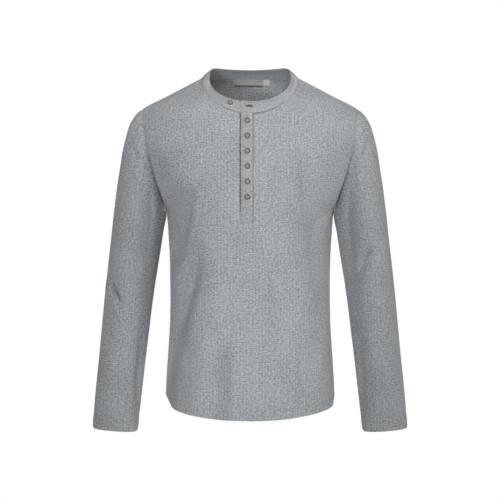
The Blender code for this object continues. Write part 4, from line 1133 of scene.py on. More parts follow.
def tube_meshes(name, sections, material, joined=False, sharp=48.0, spread=None):
    """Tubes through closed sections, an array of (tube, section, corner, xyz), with both ends filled,
    or each tube joined to its own start."""
    tubes, count, around = sections.shape[:3]
    rows = count if joined else count - 1
    t, s, k = np.meshgrid(np.arange(tubes), np.arange(rows), np.arange(around), indexing="ij")
    s_next, k_next = (s + 1) % count, (k + 1) % around

    def at(section, corner):
        return (t * count + section) * around + corner

    quads = np.stack([at(s, k), at(s, k_next), at(s_next, k_next), at(s_next, k)], -1).reshape(-1, 4)
    corners = [(s, k), (s, k + 1), (s + 1, k + 1), (s + 1, k)]
    if spread is None:
        length = line_lengths(sections[:, :, 0])
        wide = line_lengths(np.concatenate([sections[:, 0], sections[:, 0, :1]], axis=1))
        length = np.concatenate([length, length[:, -1:]], axis=1)
        places = np.stack([np.stack([length[t, p], wide[t, q]], -1) for p, q in corners], -2)
    else:
        places = np.stack([spread[t, p, q] for p, q in corners], -2)
    places = places.reshape(-1, 2)
    faces = quads.tolist()
    if not joined:
        ends = np.arange(tubes)[:, None] * count * around + np.arange(around)[None]
        ends = np.concatenate([ends[:, ::-1], ends + (count - 1) * around])
        faces += ends.tolist()
        places = np.concatenate([places, np.zeros((ends.size, 2))])
    return finish_mesh(name, sections.reshape(-1, 3), faces, places, material, sharp)


def lap_raise(x):
    """Height of the overlap above the front: nothing at its sewn edge, most at its free edge."""
    return LAP_RAISE * (SLIT_LEFT - x) / (SLIT_LEFT - SLIT_RIGHT)


def front_point(x, z, height):
    """Point over the plain front, and the outward normal there."""
    base = torso_point(x, z, -1)
    normal = torso_normal(base, -1)
    return base + normal * np.asarray(height)[..., None], normal


def neck_z(x, side):
    """Height of the neckline at a place across."""
    line_x, line_z = neckline(np.linspace(0, math.pi / 2, NECK_FINE), side)
    return np.interp(np.abs(x), line_x, line_z)


def slit_bottom_z():
    line = level_lines(-1, True, np.array([0.0]))[0]
    return float(np.interp(abs(SLIT_RIGHT + SLIT_LEFT) / 2, line[:, 0], line[:, 2]))


def placket_surface(left, right, lift):
    """Outer side of a placket strip, rows from its lower end up: the front's own form, raised like a
    ramp towards the free edge, with soft swells between the buttons."""
    across = np.linspace(left, right, PLACKET_COLUMNS)[None]
    top = neck_z(across, -1) - SEAM_GAP
    bottom = slit_bottom_z() + SEAM_GAP * 1.5
    share = np.linspace(0, 1, PLACKET_ROWS)[:, None]
    z = bottom + (top - bottom) * share
    free = ease((SLIT_LEFT - across) / (SLIT_LEFT - OVERLAP_EDGE))
    swell = PLACKET_SWELL * np.cos((z - BUTTON_TOP_Z) * 2 * math.pi / BUTTON_PITCH + math.pi) * free
    height = lap_raise(across) + lift + (swell - sewn_dip(across, z) * PLACKET_SEWN_SHARE) * (lift >= 0)
    return front_point(across + 0 * z, z, height)


def placket_strip(name, left, right, lift, material):
    """A folded strip: outer and inner side with rounded long edges, as closed sections. Gives the
    mesh and its outer side."""
    outer, normal = placket_surface(left, right, lift)
    thick = sizes().cloth
    side = np.linspace(-1, 1, outer.shape[1])
    half = np.sqrt(np.clip(1 - np.abs(side) ** PLACKET_EDGE_POWER, PLACKET_EDGE_THIN, 1))[None, :, None]
    half = half * thick / 2
    centre = outer - normal * thick / 2
    sections = np.concatenate([centre + normal * half, (centre - normal * half)[:, ::-1]], axis=1)
    made = tube_meshes(name, sections[None], material, sharp=60.0)
    return made, {"outer": outer, "normals": normal}


def neck_seam():
    """The neck seam from the overlap's end round the back to the underlap's end, in even steps, with
    the normals there and the share of the way round: 0 and 2 in front, 1 behind."""
    quarter = math.pi / 2
    fine = np.linspace(-quarter, quarter, 2 * FINE + 1)
    front_x, front_z = neckline(np.abs(fine), -1)
    front_line = torso_point(np.sign(fine) * front_x, front_z, -1)
    back_x, back_z = neckline(np.abs(fine), 1)
    back_line = torso_point(np.sign(fine) * back_x, back_z, 1)[::-1]
    start = front_line[front_line[:, 0] > OVERLAP_EDGE]
    end = front_line[front_line[:, 0] < SLIT_LEFT - SEAM_GAP]
    line = np.concatenate([start, back_line[1:-1], end])
    ways = np.concatenate([
        torso_normal(start, -1), torso_normal(back_line[1:-1], 1), torso_normal(end, -1),
    ])
    length = line_lengths(line[None])
    places = np.linspace(0, length[0, -1], BAND_COLUMNS)[None]
    index, share = places_on(length, places)
    points = read_on(line[None], index, share)[0]
    normals = unit(read_on(ways[None], index, share)[0])
    first = np.interp(0.0, points[:20, 0], places[0, :20])
    last = np.interp(0.0, points[-20:, 0], places[0, -20:])
    return points, normals, 2 * (places[0] - first) / (last - first)


def rim_point(signed):
    """Upper edge of the band: an oval from above, its height read from the table by y, the points
    lagging behind the seam's by a sine."""
    share = np.abs(np.where(signed > 1, 2 - signed, signed))
    side_x = np.where((signed < 0) | ((signed > 1) & (signed <= 2)), -1.0, 1.0)
    turn = np.linspace(0, math.pi, RIM_FINE)
    y = RIM_MIDDLE - np.where(turn < math.pi / 2, RIM_FRONT, RIM_BACK) * np.cos(turn)
    height = table_value(RIM, RIM_COLUMNS, "height", y)
    half = np.stack([RIM_HALF_WIDTH * np.sin(turn), y, height], axis=-1)[None]
    length = line_lengths(half)
    lagged = share + RIM_LAG * np.sin(math.pi * share)
    point = resample_lines(half, lagged[None] * length[0, -1])[0]
    point[..., 0] *= side_x
    return point


def band_lift(signed, x):
    """Height of the band over the neck seam where its ends lap; signed is the share of the way round,
    small at the overlap's end and near 2 at the underlap's."""
    over = lap_raise(np.minimum(x, SLIT_LEFT))
    sunk_x = OVERLAP_EDGE - BAND_SUNK
    fade_under = ease((x - BAND_SINK_X) / (sunk_x - BAND_SINK_X))
    under = (lap_raise(np.maximum(x, sunk_x)) - sizes().band_cloth - SEAM_GAP) * fade_under
    in_front = np.abs(x) < BAND_END_REACH
    under = under - BAND_END_DIP * np.exp(-(((x - OVERLAP_EDGE) / BAND_END_DIP_WIDTH) ** 2))
    lift = np.where((signed < OVERLAP_TURN) & in_front & (x < SLIT_LEFT), over, 0.0)
    return np.where((signed > UNDERLAP_TURN) & in_front, under, lift)


def towards_neck(points, normals):
    """Direction along the cloth, square to a neckline, that points up to the neck."""
    direction = unit(np.cross(unit(np.gradient(points, axis=0)), normals))
    return direction * np.where(direction[..., 2:] < 0, -1.0, 1.0)


def band_frame():
    """The band's seam, rim, height direction, outward direction, seam normals, lift and share of the
    way round, each as an array along the band."""
    seam, normal, turn = neck_seam()
    rim = rim_point(turn)
    up = unit(rim - seam)
    face = unit(np.cross(unit(np.gradient(seam, axis=0)), up))
    face = np.where(np.sum(face * normal, axis=-1, keepdims=True) < 0, -face, face)
    lift = band_lift(turn, seam[:, 0])[:, None]
    return {"seam": seam, "rim": rim, "up": up, "face": face, "normal": normal, "lift": lift, "turn": turn}


def band_point(band, share, height):
    """Points of the band's outer side at a share of its height, raised by height."""
    seam, rim, face, normal, lift = (band[key] for key in ("seam", "rim", "face", "normal", "lift"))
    foot = seam + towards_neck(seam, normal) * SEAM_GAP / 2
    way = unit(unit(face + normal) * (1 - share) + face * share) if share < 0.5 else face
    bulge = BAND_BULGE * math.sin(math.pi * share)
    return foot + (rim - foot) * share + way * (lift + bulge + height), way


def linear(colour):
    return (*colour, 1.0)


class Socket:
    """A value in a node tree. Sums and products on it add Math nodes."""

    def __init__(self, tree, source):
        self.tree = tree
        self.source = source

    def feed(self, target, value):
        if isinstance(value, Socket):
            self.tree.links.new(value.source, target)
        else:
            target.default_value = value

    def math(self, operation, *values):
        node = self.tree.nodes.new("ShaderNodeMath")
        node.operation = operation
        for place, value in enumerate(values):
            self.feed(node.inputs[place], value)
        return Socket(self.tree, node.outputs[0])

    def __add__(self, other):
        return self.math("ADD", self, other)

    def __radd__(self, other):
        return self.math("ADD", other, self)

    def __sub__(self, other):
        return self.math("SUBTRACT", self, other)

    def __rsub__(self, other):
        return self.math("SUBTRACT", other, self)

    def __mul__(self, other):
        return self.math("MULTIPLY", self, other)

    def __rmul__(self, other):
        return self.math("MULTIPLY", other, self)

    def __truediv__(self, other):
        return self.math("DIVIDE", self, other)

    def sine(self):
        return self.math("SINE", self)

    def size(self):
        return self.math("ABSOLUTE", self)

    def clamped(self, low, high):
        return self.math("MINIMUM", self.math("MAXIMUM", self, low), high)


class Finish:
    """One material: its tree, its shader and the nodes that feed it."""

    def __init__(self, name, roughness, colour=(0.5, 0.5, 0.5)):
        self.material = bpy.data.materials.new(name)
        self.material.use_nodes = True
        self.tree = self.material.node_tree
        self.shader = self.tree.nodes["Principled BSDF"]
        self.shader.inputs["Base Color"].default_value = linear(colour)
        self.shader.inputs["Roughness"].default_value = roughness
        self.blank = Socket(self.tree, None)

    def node(self, kind, settings=(), output=0, **values):
        """Any node: its kind, its settings and its sockets' values or links, by name with _ for a
        blank. Gives the named or numbered output."""
        made = self.tree.nodes.new(kind)
        for key, value in dict(settings).items():
            setattr(made, key, value)
        for key, value in values.items():
            self.blank.feed(made.inputs[key.replace("_", " ")], value)
        return Socket(self.tree, made.outputs[output])

    def mixed(self, factor, first, second):
        """Colour mix."""
        made = self.tree.nodes.new("ShaderNodeMix")
        made.data_type = "RGBA"
        for place, value in ((0, factor), (6, first), (7, second)):
            self.blank.feed(made.inputs[place], value)
        return Socket(self.tree, made.outputs[2])

    def pattern(self):
        """The piece's own pattern coordinates, in metres."""
        return self.node("ShaderNodeUVMap", {"uv_map": "pattern"}, "UV")

    def noise(self, vector, scale, detail=2.0, roughness=0.5):
        return self.node(
            "ShaderNodeTexNoise", {"noise_dimensions": "3D"}, "Fac",
            Vector=vector, Scale=scale, Detail=detail, Roughness=roughness,
        )

    def split(self, vector):
        made = self.tree.nodes.new("ShaderNodeSeparateXYZ")
        self.blank.feed(made.inputs[0], vector)
        return [Socket(self.tree, out) for out in made.outputs]

    def joined(self, x, y, z=0.0):
        return self.node("ShaderNodeCombineXYZ", (), 0, X=x, Y=y, Z=z)

    def bump(self, height, distance):
        made = self.node("ShaderNodeBump", (), "Normal", Strength=1.0, Distance=distance, Height=height)
        self.tree.links.new(made.source, self.shader.inputs["Normal"])

    def set(self, name, value):
        self.blank.feed(self.shader.inputs[name], value)


def knit_finish(name, cell_share, depth, mottle):
    """Heather waffle knit: raised lines round sunken cells, loops within them, two yarns mixed, and painted
    shade darkening the sunken cells.
    """
    light, dark = (tuple(yarn) for yarn in (tints().knit_light, tints().knit_dark))
    finish = Finish(name, 0.92)
    place = finish.pattern()
    x, y, _ = finish.split(place)
    right = x + (finish.noise(place, WANDER_ACROSS_SCALE, 1.0) - 0.5) * CELL_WANDER_ACROSS
    high = y + (finish.noise(finish.joined(y, x, 3.0), WANDER_UP_SCALE, 1.0) - 0.5) * CELL_WANDER_UP
    across = (right * (math.pi / (sizes().waffle_width * cell_share))).sine()
    up = (high * (math.pi / (sizes().waffle_height * cell_share))).sine()
    cell = (across * across) * (up * up)
    hollow = (cell * 1.9).clamped(0.0, 1.0)
    loops = (right * (math.pi / LOOP_WIDTH)).sine() * (high * (math.pi / LOOP_HEIGHT)).sine()
    fibre = finish.noise(finish.joined(x * 0.65, y), FIBRE_SCALE, 3.0, 0.65)
    fleck = finish.noise(finish.joined(x * 0.85, y * 1.15), FLECK_SCALE, 2.0, 0.62)
    patch = finish.noise(place, PATCH_SCALE, 1.0, 0.5)
    cloud = finish.noise(place, CLOUD_SCALE, 2.0, 0.5)
    sunk = hollow * (fleck * 1.8 - 0.1)
    share = TONE_BASE + (fibre - 0.5) * TONE["fibre"] + (fleck - 0.5) * (TONE["fleck"] * mottle)
    share = share + (patch - 0.5) * (TONE["patch"] * mottle) + (cloud - 0.5) * TONE["cloud"]
    # Painted shade: the colour darkens in the sunken cells
    share = share - (sunk - 0.3) * (TONE["cell"] * mottle) + loops * TONE["loops"]
    finish.set("Base Color", finish.mixed(share.clamped(0.0, 1.0), linear(dark), linear(light)))
    finish.set("Roughness", 0.97 - (fibre * 0.12))
    raised = (1.0 - sunk) * RELIEF["cell"] + loops * RELIEF["loops"]
    finish.bump(raised + fleck * RELIEF["fleck"] + fibre * RELIEF["fibre"], depth)
    finish.set("Sheen Weight", 0.06)
    finish.set("Sheen Roughness", 0.5)
    finish.set("Specular IOR Level", 0.18)
    return finish.material


def thread_finish(name, colour):
    """Twisted sewing thread: slanting strands along each stitch."""
    finish = Finish(name, 0.7)
    x, y, _ = finish.split(finish.pattern())
    strand = ((x * STRAND_ACROSS) + (y * STRAND_ALONG)).sine() * 0.5 + 0.5
    fuzz = finish.noise(finish.node("ShaderNodeTexCoord", (), "Object"), FUZZ_SCALE)
    dark = tuple(channel * STRAND_DARK for channel in colour)
    share = (strand * 0.5 + fuzz * 0.5).clamped(0.0, 1.0)
    finish.set("Base Color", finish.mixed(share, linear(dark), linear(colour)))
    finish.set("Roughness", 0.62 + fuzz * 0.2)
    finish.bump(strand, STRAND_DEPTH)
    finish.set("Specular IOR Level", 0.3)
    return finish.material


def button_finish(name, rim, face):
    """Resin button: a dark turned rim, a paler marbled middle and fine turning marks. The pattern's
    first coordinate is the distance from the middle."""
    finish = Finish(name, 0.4)
    radius, _, _ = finish.split(finish.pattern())
    marble = finish.noise(finish.node("ShaderNodeTexCoord", (), "Object"), MARBLE_SCALE, 4.0, 0.6)
    ring = ((radius / BUTTON_RADIUS - 0.50) * 4.2).clamped(0.0, 1.0)
    tone = (ring * 0.85 + (marble - 0.5) * 0.5).clamped(0.0, 1.0)
    finish.set("Base Color", finish.mixed(tone, linear(face), linear(rim)))
    finish.set("Roughness", 0.30 + marble * 0.22)
    finish.bump((radius * TURNING_MARKS).sine() * 0.2 + marble * 0.5, TURNING_DEPTH)
    finish.set("Coat Weight", 0.2)
    finish.set("Coat Roughness", 0.25)
    return finish.material


def tape_finish(name, colour, border=None):
    """Woven tape: fine weft lines, a faint warp and slightly uneven tone; border is the distance from the
    upper edge where a painted shadow along the lower edge starts, and its colour."""
    finish = Finish(name, 0.6)
    x, y, _ = finish.split(finish.pattern())
    weft = (y * (math.pi / WEFT_PITCH)).sine().size()
    warp = (x * (math.pi / WARP_PITCH)).sine().size()
    cloud = finish.noise(finish.pattern(), TAPE_CLOUD_SCALE, 3.0)
    weave = weft * 0.55 + warp * 0.45
    dark = tuple(channel * TAPE_DARK for channel in colour)
    base = finish.mixed((weave * 0.6 + cloud * 0.5).clamped(0.0, 1.0), linear(dark), linear(colour))
    # Painted shadow along the label's lower edge, from the given distance below its upper edge down
    if border is not None:
        base = finish.mixed(((y - border[0]) * SHADOW_BORDER_SHARPNESS).clamped(0.0, 1.0), base, linear(border[1]))
    finish.set("Base Color", base)
    finish.set("Roughness", 0.50 + cloud * 0.25)
    finish.bump(weave, WEAVE_DEPTH)
    finish.set("Sheen Weight", 0.1)
    return finish.material


THREADS = {
    "sewing_thread": "thread",
    "buttonhole_thread": "hole_thread",
    "band_buttonhole_thread": "band_hole_shaded_thread",
    "slit_thread": "slit_thread",
    "label_thread": "label_thread",
}


def finish_of(name):
    """Each finish is made once and shared."""
    found = bpy.data.materials.get(name)
    if found is not None:
        return found
    if name == "heather_waffle_knit":
        return knit_finish(name, 1.0, KNIT_DEPTH, 1.0)
    if name == "heather_band_knit":
        return knit_finish(name, BAND_CELL_SHARE, BAND_KNIT_DEPTH, BAND_MOTTLE)
    if name in THREADS:
        return thread_finish(name, tuple(getattr(tints(), THREADS[name])))
    if name == "button_resin":
        return button_finish(name, tuple(tints().button_rim), tuple(tints().button_face))
    if name == "label_tape":
        # The neck label's lower edge gets a painted shadow in the near-black label thread colour
        border = (NECK_LABEL["drop"] - LABEL_SHADOW_BORDER, tuple(tints().label_thread))
        return tape_finish(name, tuple(tints().label), border)
    return tape_finish(name, tuple(tints().tab))


def turns(count):
    """Angles of the corners of a round section."""
    return np.arange(count) * 2 * math.pi / count


def stitch_tubes(path, normals):
    """Stitches along a path: each a spindle, thickest in the middle, its ends sunk into the cloth."""
    length = line_lengths(path[None])
    count = max(1, int(length[0, -1] / sizes().stitch_pitch))
    starts = (np.arange(count) + 0.5) * length[0, -1] / count - sizes().stitch / 2
    steps = np.linspace(0, 1, STITCH_STEPS)
    places = (starts[:, None] + steps[None] * sizes().stitch).ravel()[None]
    index, share = places_on(length, places)
    points = read_on(path[None], index, share)[0].reshape(count, STITCH_STEPS, 3)
    ways = unit(read_on(normals[None], index, share)[0]).reshape(count, STITCH_STEPS, 3)
    along = unit(np.gradient(points, axis=1))
    aside = unit(np.cross(along, ways))
    swell = np.sin(math.pi * (STITCH_START + STITCH_RUN * steps))
    middle = points + ways * (STITCH_LIFT + STITCH_RADIUS * (swell - STITCH_SUNK))[None, :, None]
    turn = turns(6)
    thick = STITCH_RADIUS * (STITCH_END_SHARE + (1 - STITCH_END_SHARE) * swell)
    ring = np.cos(turn)[:, None] * aside[:, :, None] + np.sin(turn)[:, None] * ways[:, :, None]
    return middle[:, :, None] + ring * thick[None, :, None, None]


def stitch_line(part, cut):
    """Points and normals of a surface's outer side where a line of stitches runs."""
    return part["outer"][cut], part["normals"][cut]


def add_stitches(name, lines, finish="sewing_thread"):
    """One piece of sewing from several lines of (points, normals)."""
    sections = np.concatenate([stitch_tubes(points, normals) for points, normals in lines])
    tube_meshes(name, sections, finish_of(finish))


def sew(made, node):
    """Hide the solid that a piece replaces."""
    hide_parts(node)
    return made


class HENLEY_OT_panels(bpy.types.Operator):
    """Add the front and the back"""

    bl_idname = "henley.panels"
    bl_label = "Front and Back"

    def execute(self, context):
        knit = finish_of("heather_waffle_knit")
        gone = (slice(ARMHOLE_ROW, None), slice(SLIT_COLUMN, SLIT_COLUMN + SLIT_COLUMNS))
        front = sew(wall_mesh("shirt_front", panel_surface(-1), knit, gone=gone), "front_panel")
        back = sew(wall_mesh("shirt_back", panel_surface(1), knit), "back_panel")
        return {"FINISHED"}


class HENLEY_OT_sleeves(bpy.types.Operator):
    """Add both sleeves"""

    bl_idname = "henley.sleeves"
    bl_label = "Sleeves"

    def execute(self, context):
        knit = finish_of("heather_waffle_knit")
        for name, side_x in (("left", 1), ("right", -1)):
            made = wall_mesh(f"shirt_sleeve_{name}", sleeve_surface(side_x), knit, closed=True)
            sew(made, f"sleeve_{name}")
        return {"FINISHED"}


class HENLEY_OT_neckband(bpy.types.Operator):
    """Add the neckband with its lapped ends"""

    bl_idname = "henley.neckband"
    bl_label = "Neckband"

    def execute(self, context):
        band = band_frame()
        thick = sizes().band_cloth
        outer, inner = [], []
        for share in BAND_SHARES:
            dip = -sizes().groove * math.exp(-((share / BAND_SEAM_SHARE) ** 2))
            dip -= BAND_STITCH_DIP * math.exp(-(((share - BAND_STITCH_SHARE) / BAND_STITCH_WIDTH) ** 2))
            rounding = thick * BAND_ROUNDING * ease((share - BAND_ROUND_START) / BAND_ROUND_RUN)
            point, way = band_point(band, share, dip)
            outer.append(point - way * rounding)
            inner.append(band_point(band, share, -thick)[0] + way * rounding)
        crest = band["rim"] + band["up"] * BAND_CREST + band["face"] * (band["lift"] - thick / 2)
        sections = np.stack(outer + [crest] + inner[::-1], axis=1)
        made = tube_meshes("shirt_neckband", sections[None], finish_of("heather_band_knit"), sharp=60.0)
        sew(made, "neckband")
        return {"FINISHED"}


class HENLEY_OT_placket(bpy.types.Operator):
    """Add the overlap and the underlap of the placket"""

    bl_idname = "henley.placket"
    bl_label = "Placket"

    def execute(self, context):
        knit = finish_of("heather_band_knit")
        sewn_edge = SLIT_LEFT - SEAM_GAP
        over, surface = placket_strip("shirt_placket_overlap", OVERLAP_EDGE, sewn_edge, 0.0, knit)
        SURFACES["overlap"] = surface
        sew(over, "placket_overlap")
        drop = -sizes().cloth - SEAM_GAP
        under, _ = placket_strip("shirt_placket_underlap", SLIT_RIGHT + SEAM_GAP, sewn_edge, drop, knit)
        sew(under, "placket_underlap")
        return {"FINISHED"}


def button_profile():
    """Radius and height from the middle of the face over the rim to the middle of the back."""
    r, h = BUTTON_RADIUS, BUTTON_HEIGHT
    knots = np.array([0.0, 0.12, 0.25, 0.36, 0.42, 0.50, 0.60, 0.70, 0.80, 0.90, 1.0])
    radius = r * np.array([0.03, 0.28, 0.56, 0.68, 0.76, 0.88, 0.985, 1.0, 0.96, 0.62, 0.03])
    height = h * np.array([0.60, 0.61, 0.64, 0.76, 0.97, 1.00, 0.80, 0.50, 0.08, 0.0, 0.0])
    at = np.concatenate([np.linspace(0.0, 0.36, BUTTON_FACE_ROWS), np.linspace(0.375, 1.0, BUTTON_FACE_ROWS)])
    return smooth_curve(knots, radius, at), smooth_curve(knots, height, at)


def button_sections(centre, axis, turned):
    """A turned disc with four stitch holes: rings of points, from the face's middle to the back's, its
    pattern places, and the holes' places off its middle."""
    axis = unit(axis)
    right = unit(np.cross(np.array([0.0, 0.0, 1.0]), axis))
    up = np.cross(axis, right)
    radius, height = button_profile()
    turn = turns(BUTTON_CORNERS)
    across = radius[:, None] * np.cos(turn)
    along = radius[:, None] * np.sin(turn)
    hole_turn = turned + np.array([1, 3, 5, 7]) * math.pi / 4
    hole_x, hole_y = HOLE_REACH * np.cos(hole_turn), HOLE_REACH * np.sin(hole_turn)
    far = np.hypot(across[..., None] - hole_x, along[..., None] - hole_y).min(axis=-1)
    facing = (np.arange(len(radius)) < BUTTON_FACE_ROWS)[:, None]
    sunk = HOLE_DEPTH * (1 - ease((far - HOLE_RADIUS) / HOLE_EDGE)) * facing
    rise = height[:, None] - sunk
    points = centre + across[..., None] * right + along[..., None] * up + rise[..., None] * axis
    spread = np.stack([np.broadcast_to(radius[:, None], far.shape), np.broadcast_to(turn, far.shape)], -1)
    spread = np.concatenate([spread, spread[:, :1]], axis=1)
    holes = [HOLE_REACH * (np.cos(hole) * right + np.sin(hole) * up) for hole in hole_turn]
    return points, np.concatenate([spread, spread[-1:]]), holes


def thread_bars(centre, axis, holes):
    """Two bars of thread over a button, each an arch between two holes, three strands side by side."""
    axis = unit(axis)
    steps = np.linspace(0, 1, 9)
    turn = turns(6)
    bars = []
    for start, end in ((holes[0], holes[3]), (holes[1], holes[2])):
        aside = unit(np.cross(end - start, axis))
        for strand in (-1, 0, 1):
            arch = BAR_LIFT + BAR_ARCH * np.sin(math.pi * steps) ** 0.6 - BAR_STRAND_DROP * abs(strand)
            line = centre + start + (end - start) * steps[:, None] + axis * arch[:, None]
            line = line + aside * strand * BAR_STRAND_ASIDE
            over = unit(np.cross(aside, unit(np.gradient(line, axis=0))))
            ring = np.cos(turn)[:, None] * aside + np.sin(turn)[:, None] * over[:, None]
            bars.append(line[:, None] + ring * BAR_RADIUS)
    return bars


def overlap_seat(x, z):
    """Point and normal of the overlap's outer side."""
    places_x = np.array([x, x + SEAT_REACH, x])
    places_z = np.array([z, z, z + SEAT_REACH])
    corners, _ = front_point(places_x, places_z, lap_raise(places_x))
    return corners[0], unit(np.cross(corners[1] - corners[0], corners[2] - corners[0]))


def read_band(x, point, values, order):
    """Values of the band's points, read at a place across the front, the points taken in order."""
    return np.array([np.interp(x, point[order, 0], values[order, axis]) for axis in range(3)])


def band_seat(x, share):
    """Point and outward way on the band's outer side at a place across the front."""
    band = band_frame()
    seam, turn = band["seam"], band["turn"]
    point, way = band_point(band, share, 0.0)
    point = point - way * band["lift"]
    near = (turn > UNDERLAP_TURN) if x < 0 else (turn < OVERLAP_TURN)
    order = np.flatnonzero(near & (np.sign(seam[:, 0]) == np.sign(x)))
    order = order[np.argsort(seam[order, 0])]
    return read_band(x, point, point, order), unit(read_band(x, point, band["face"], order))


class HENLEY_OT_buttons(bpy.types.Operator):
    """Add the six placket buttons and the undone button of the band, with their thread"""

    bl_idname = "henley.buttons"
    bl_label = "Buttons"

    def execute(self, context):
        resin = finish_of("button_resin")
        bars = []
        for index in range(BUTTON_COUNT + 1):
            if index < BUTTON_COUNT:
                name = f"button_{index + 1}"
                seat, normal = overlap_seat(BUTTON_X, BUTTON_TOP_Z - index * BUTTON_PITCH)
            else:
                name = "button_neck"
                seat, normal = band_seat(NECK_BUTTON_X, NECK_BUTTON_SHARE)
            centre = seat + normal * BUTTON_CLEARANCE
            turned = BUTTON_TURN * math.sin(2.3 * index + 0.6)
            rings, spread, holes = button_sections(centre, normal, turned)
            made = tube_meshes(f"shirt_{name}", rings[None], resin, sharp=35.0, spread=spread[None])
            sew(made, name)
            bars += thread_bars(centre, normal, holes)
        made = tube_meshes("shirt_button_thread", np.stack(bars), finish_of("buttonhole_thread"))
        return {"FINISHED"}


def buttonhole_ring(centre, long_way, out_way, length, width):
    """A worked buttonhole: satin stitches round a slit, as a ribbed ring of small round section."""
    side_way = unit(np.cross(out_way, long_way))
    turn = np.linspace(0, 2 * math.pi, HOLE_CORNERS + 1)[:-1]
    straight = (length - width) / 2
    along = np.clip(np.cos(turn) * 1.6, -1, 1) * straight + np.cos(turn) * width / 2
    aside = np.sign(np.sin(turn)) * np.abs(np.sin(turn)) ** 0.55 * width / 2
    line = centre + along[:, None] * long_way + aside[:, None] * side_way
    tangent = unit(np.roll(line, -1, axis=0) - np.roll(line, 1, axis=0))
    away = unit(np.cross(tangent, out_way))
    ribs = 1 + HOLE_RIB_SHARE * np.cos(turn * HOLE_RIBS)
    corner = turns(8)
    wide = np.cos(corner)[:, None] * away[:, None] * HOLE_THREAD_WIDTH
    high = np.sin(corner)[:, None] * out_way * HOLE_THREAD_HEIGHT
    return line[:, None] + (wide + high) * ribs[:, None, None]


def buttonhole_slit(centre, long_way, out_way, length, width):
    """The slit inside a buttonhole: a near-black flat spindle of painted shade in the opening."""
    side_way = unit(np.cross(out_way, long_way))
    along = np.cos(np.linspace(math.pi, 0, 25)) * length / 2
    half = width / 2 * np.sqrt(np.clip(1 - (2 * along / length) ** 2, 0.0004, 1))
    corner = turns(12)
    ring = np.cos(corner)[:, None] * side_way + np.sin(corner)[:, None] * out_way * 0.12
    return centre + along[:, None, None] * long_way + half[:, None, None] * ring


class HENLEY_OT_buttonholes(bpy.types.Operator):
    """Add the worked buttonholes of the placket and the band"""

    bl_idname = "henley.buttonholes"
    bl_label = "Buttonholes"

    def execute(self, context):
        rings = []
        for index in range(BUTTON_COUNT):
            above, length = FIRST_HOLE if index == 0 else OTHER_HOLES
            z = BUTTON_TOP_Z - index * BUTTON_PITCH + above
            seat, normal = overlap_seat(BUTTON_X, z)
            low, _ = overlap_seat(BUTTON_X, z - HOLE_TILT_REACH)
            place = seat + normal * THREAD_LIFT
            rings.append(buttonhole_ring(place, unit(seat - low), normal, length, HOLE_WIDTH))
        band = band_frame()
        point, _ = band_point(band, BAND_HOLE_SHARE, 0.0)
        order = np.flatnonzero(band["turn"] < BAND_HOLE_END)
        centre = read_band(BAND_HOLE_X, point, point, order)
        out_way = unit(read_band(BAND_HOLE_X, point, band["face"], order))
        long_way = unit(read_band(BAND_HOLE_AHEAD_X, point, point, order) - centre)
        centre = centre + out_way * THREAD_LIFT
        # The band's ring takes a darker copy of the buttonhole thread: painted shade
        ring = buttonhole_ring(centre, long_way, out_way, BAND_HOLE_LENGTH, BAND_HOLE_WIDTH)
        # A near-black flat sheet fills the slit: painted shade
        slit = buttonhole_slit(centre, long_way, out_way, BAND_SLIT_LENGTH, BAND_SLIT_WIDTH)
        for name, tubes, finish, joined in (
            ("shirt_buttonholes", np.stack(rings), "buttonhole_thread", True),
            ("shirt_band_buttonhole", ring[None], "band_buttonhole_thread", True),
            ("shirt_band_buttonhole_slit", slit[None], "slit_thread", False),
        ):
            tube_meshes(name, tubes, finish_of(finish), joined=joined)
        return {"FINISHED"}


def label_surface(label):
    """A tape on the inner side of the back: hangs from just below the neck seam along the cloth,
    standing a little further off towards its lower edge."""
    across = np.linspace(label["left"], label["right"], LABEL_COLUMNS)[None]
    z = neck_z(across, 1) - np.linspace(0, LABEL_REACH, LABEL_FINE)[:, None]
    cloth = torso_point(across + 0 * z, z, 1)
    normals = torso_normal(cloth, 1)
    lines = (cloth - normals * sizes().cloth).transpose(1, 0, 2)
    drop = np.linspace(0, 1, LABEL_ROWS)
    places = np.broadcast_to((LABEL_DROP + label["drop"] * drop)[None], (LABEL_COLUMNS, LABEL_ROWS))
    index, share = places_on(line_lengths(lines), places)
    points = read_on(lines, index, share).transpose(1, 0, 2)
    ways = -unit(read_on(normals.transpose(1, 0, 2), index, share).transpose(1, 0, 2))
    side = np.linspace(0, 1, LABEL_COLUMNS)
    curl = LABEL_CURL * np.sin(math.pi * side)[None] * drop[:, None]
    off = LABEL_CLEARANCE + LABEL_HANG * drop[:, None] + curl
    return points + ways * off[..., None], ways


class HENLEY_OT_labels(bpy.types.Operator):
    """Add the bare neck label and size tab"""

    bl_idname = "henley.labels"
    bl_label = "Labels"

    def execute(self, context):
        for name, label, finish, slot in (
            ("neck_label", NECK_LABEL, "label_tape", "label"), ("size_tab", SIZE_TAB, "tab_tape", "tab"),
        ):
            back, ways = label_surface(label)
            face = back + ways * LABEL_CLOTH
            surface = {"outer": face, "inner": back, "spread": grid_spread(back, LABEL_COLUMNS // 2)}
            made = wall_mesh(f"shirt_{name}", surface, finish_of(finish))
            sew(made, name)
            if label is NECK_LABEL:
                on_face = {"outer": face + ways * THREAD_LIFT, "normals": ways}
                sides = [stitch_line(on_face, np.s_[:, column]) for column in (1, -2)]
                add_stitches(f"shirt_{name}_sewing", sides)
                # Near-black stitches along the lower edge: stitching that also stands in for the shadow under
                # it
                add_stitches(f"shirt_{name}_lower_sewing", [stitch_line(on_face, -2)], "label_thread")
        return {"FINISHED"}


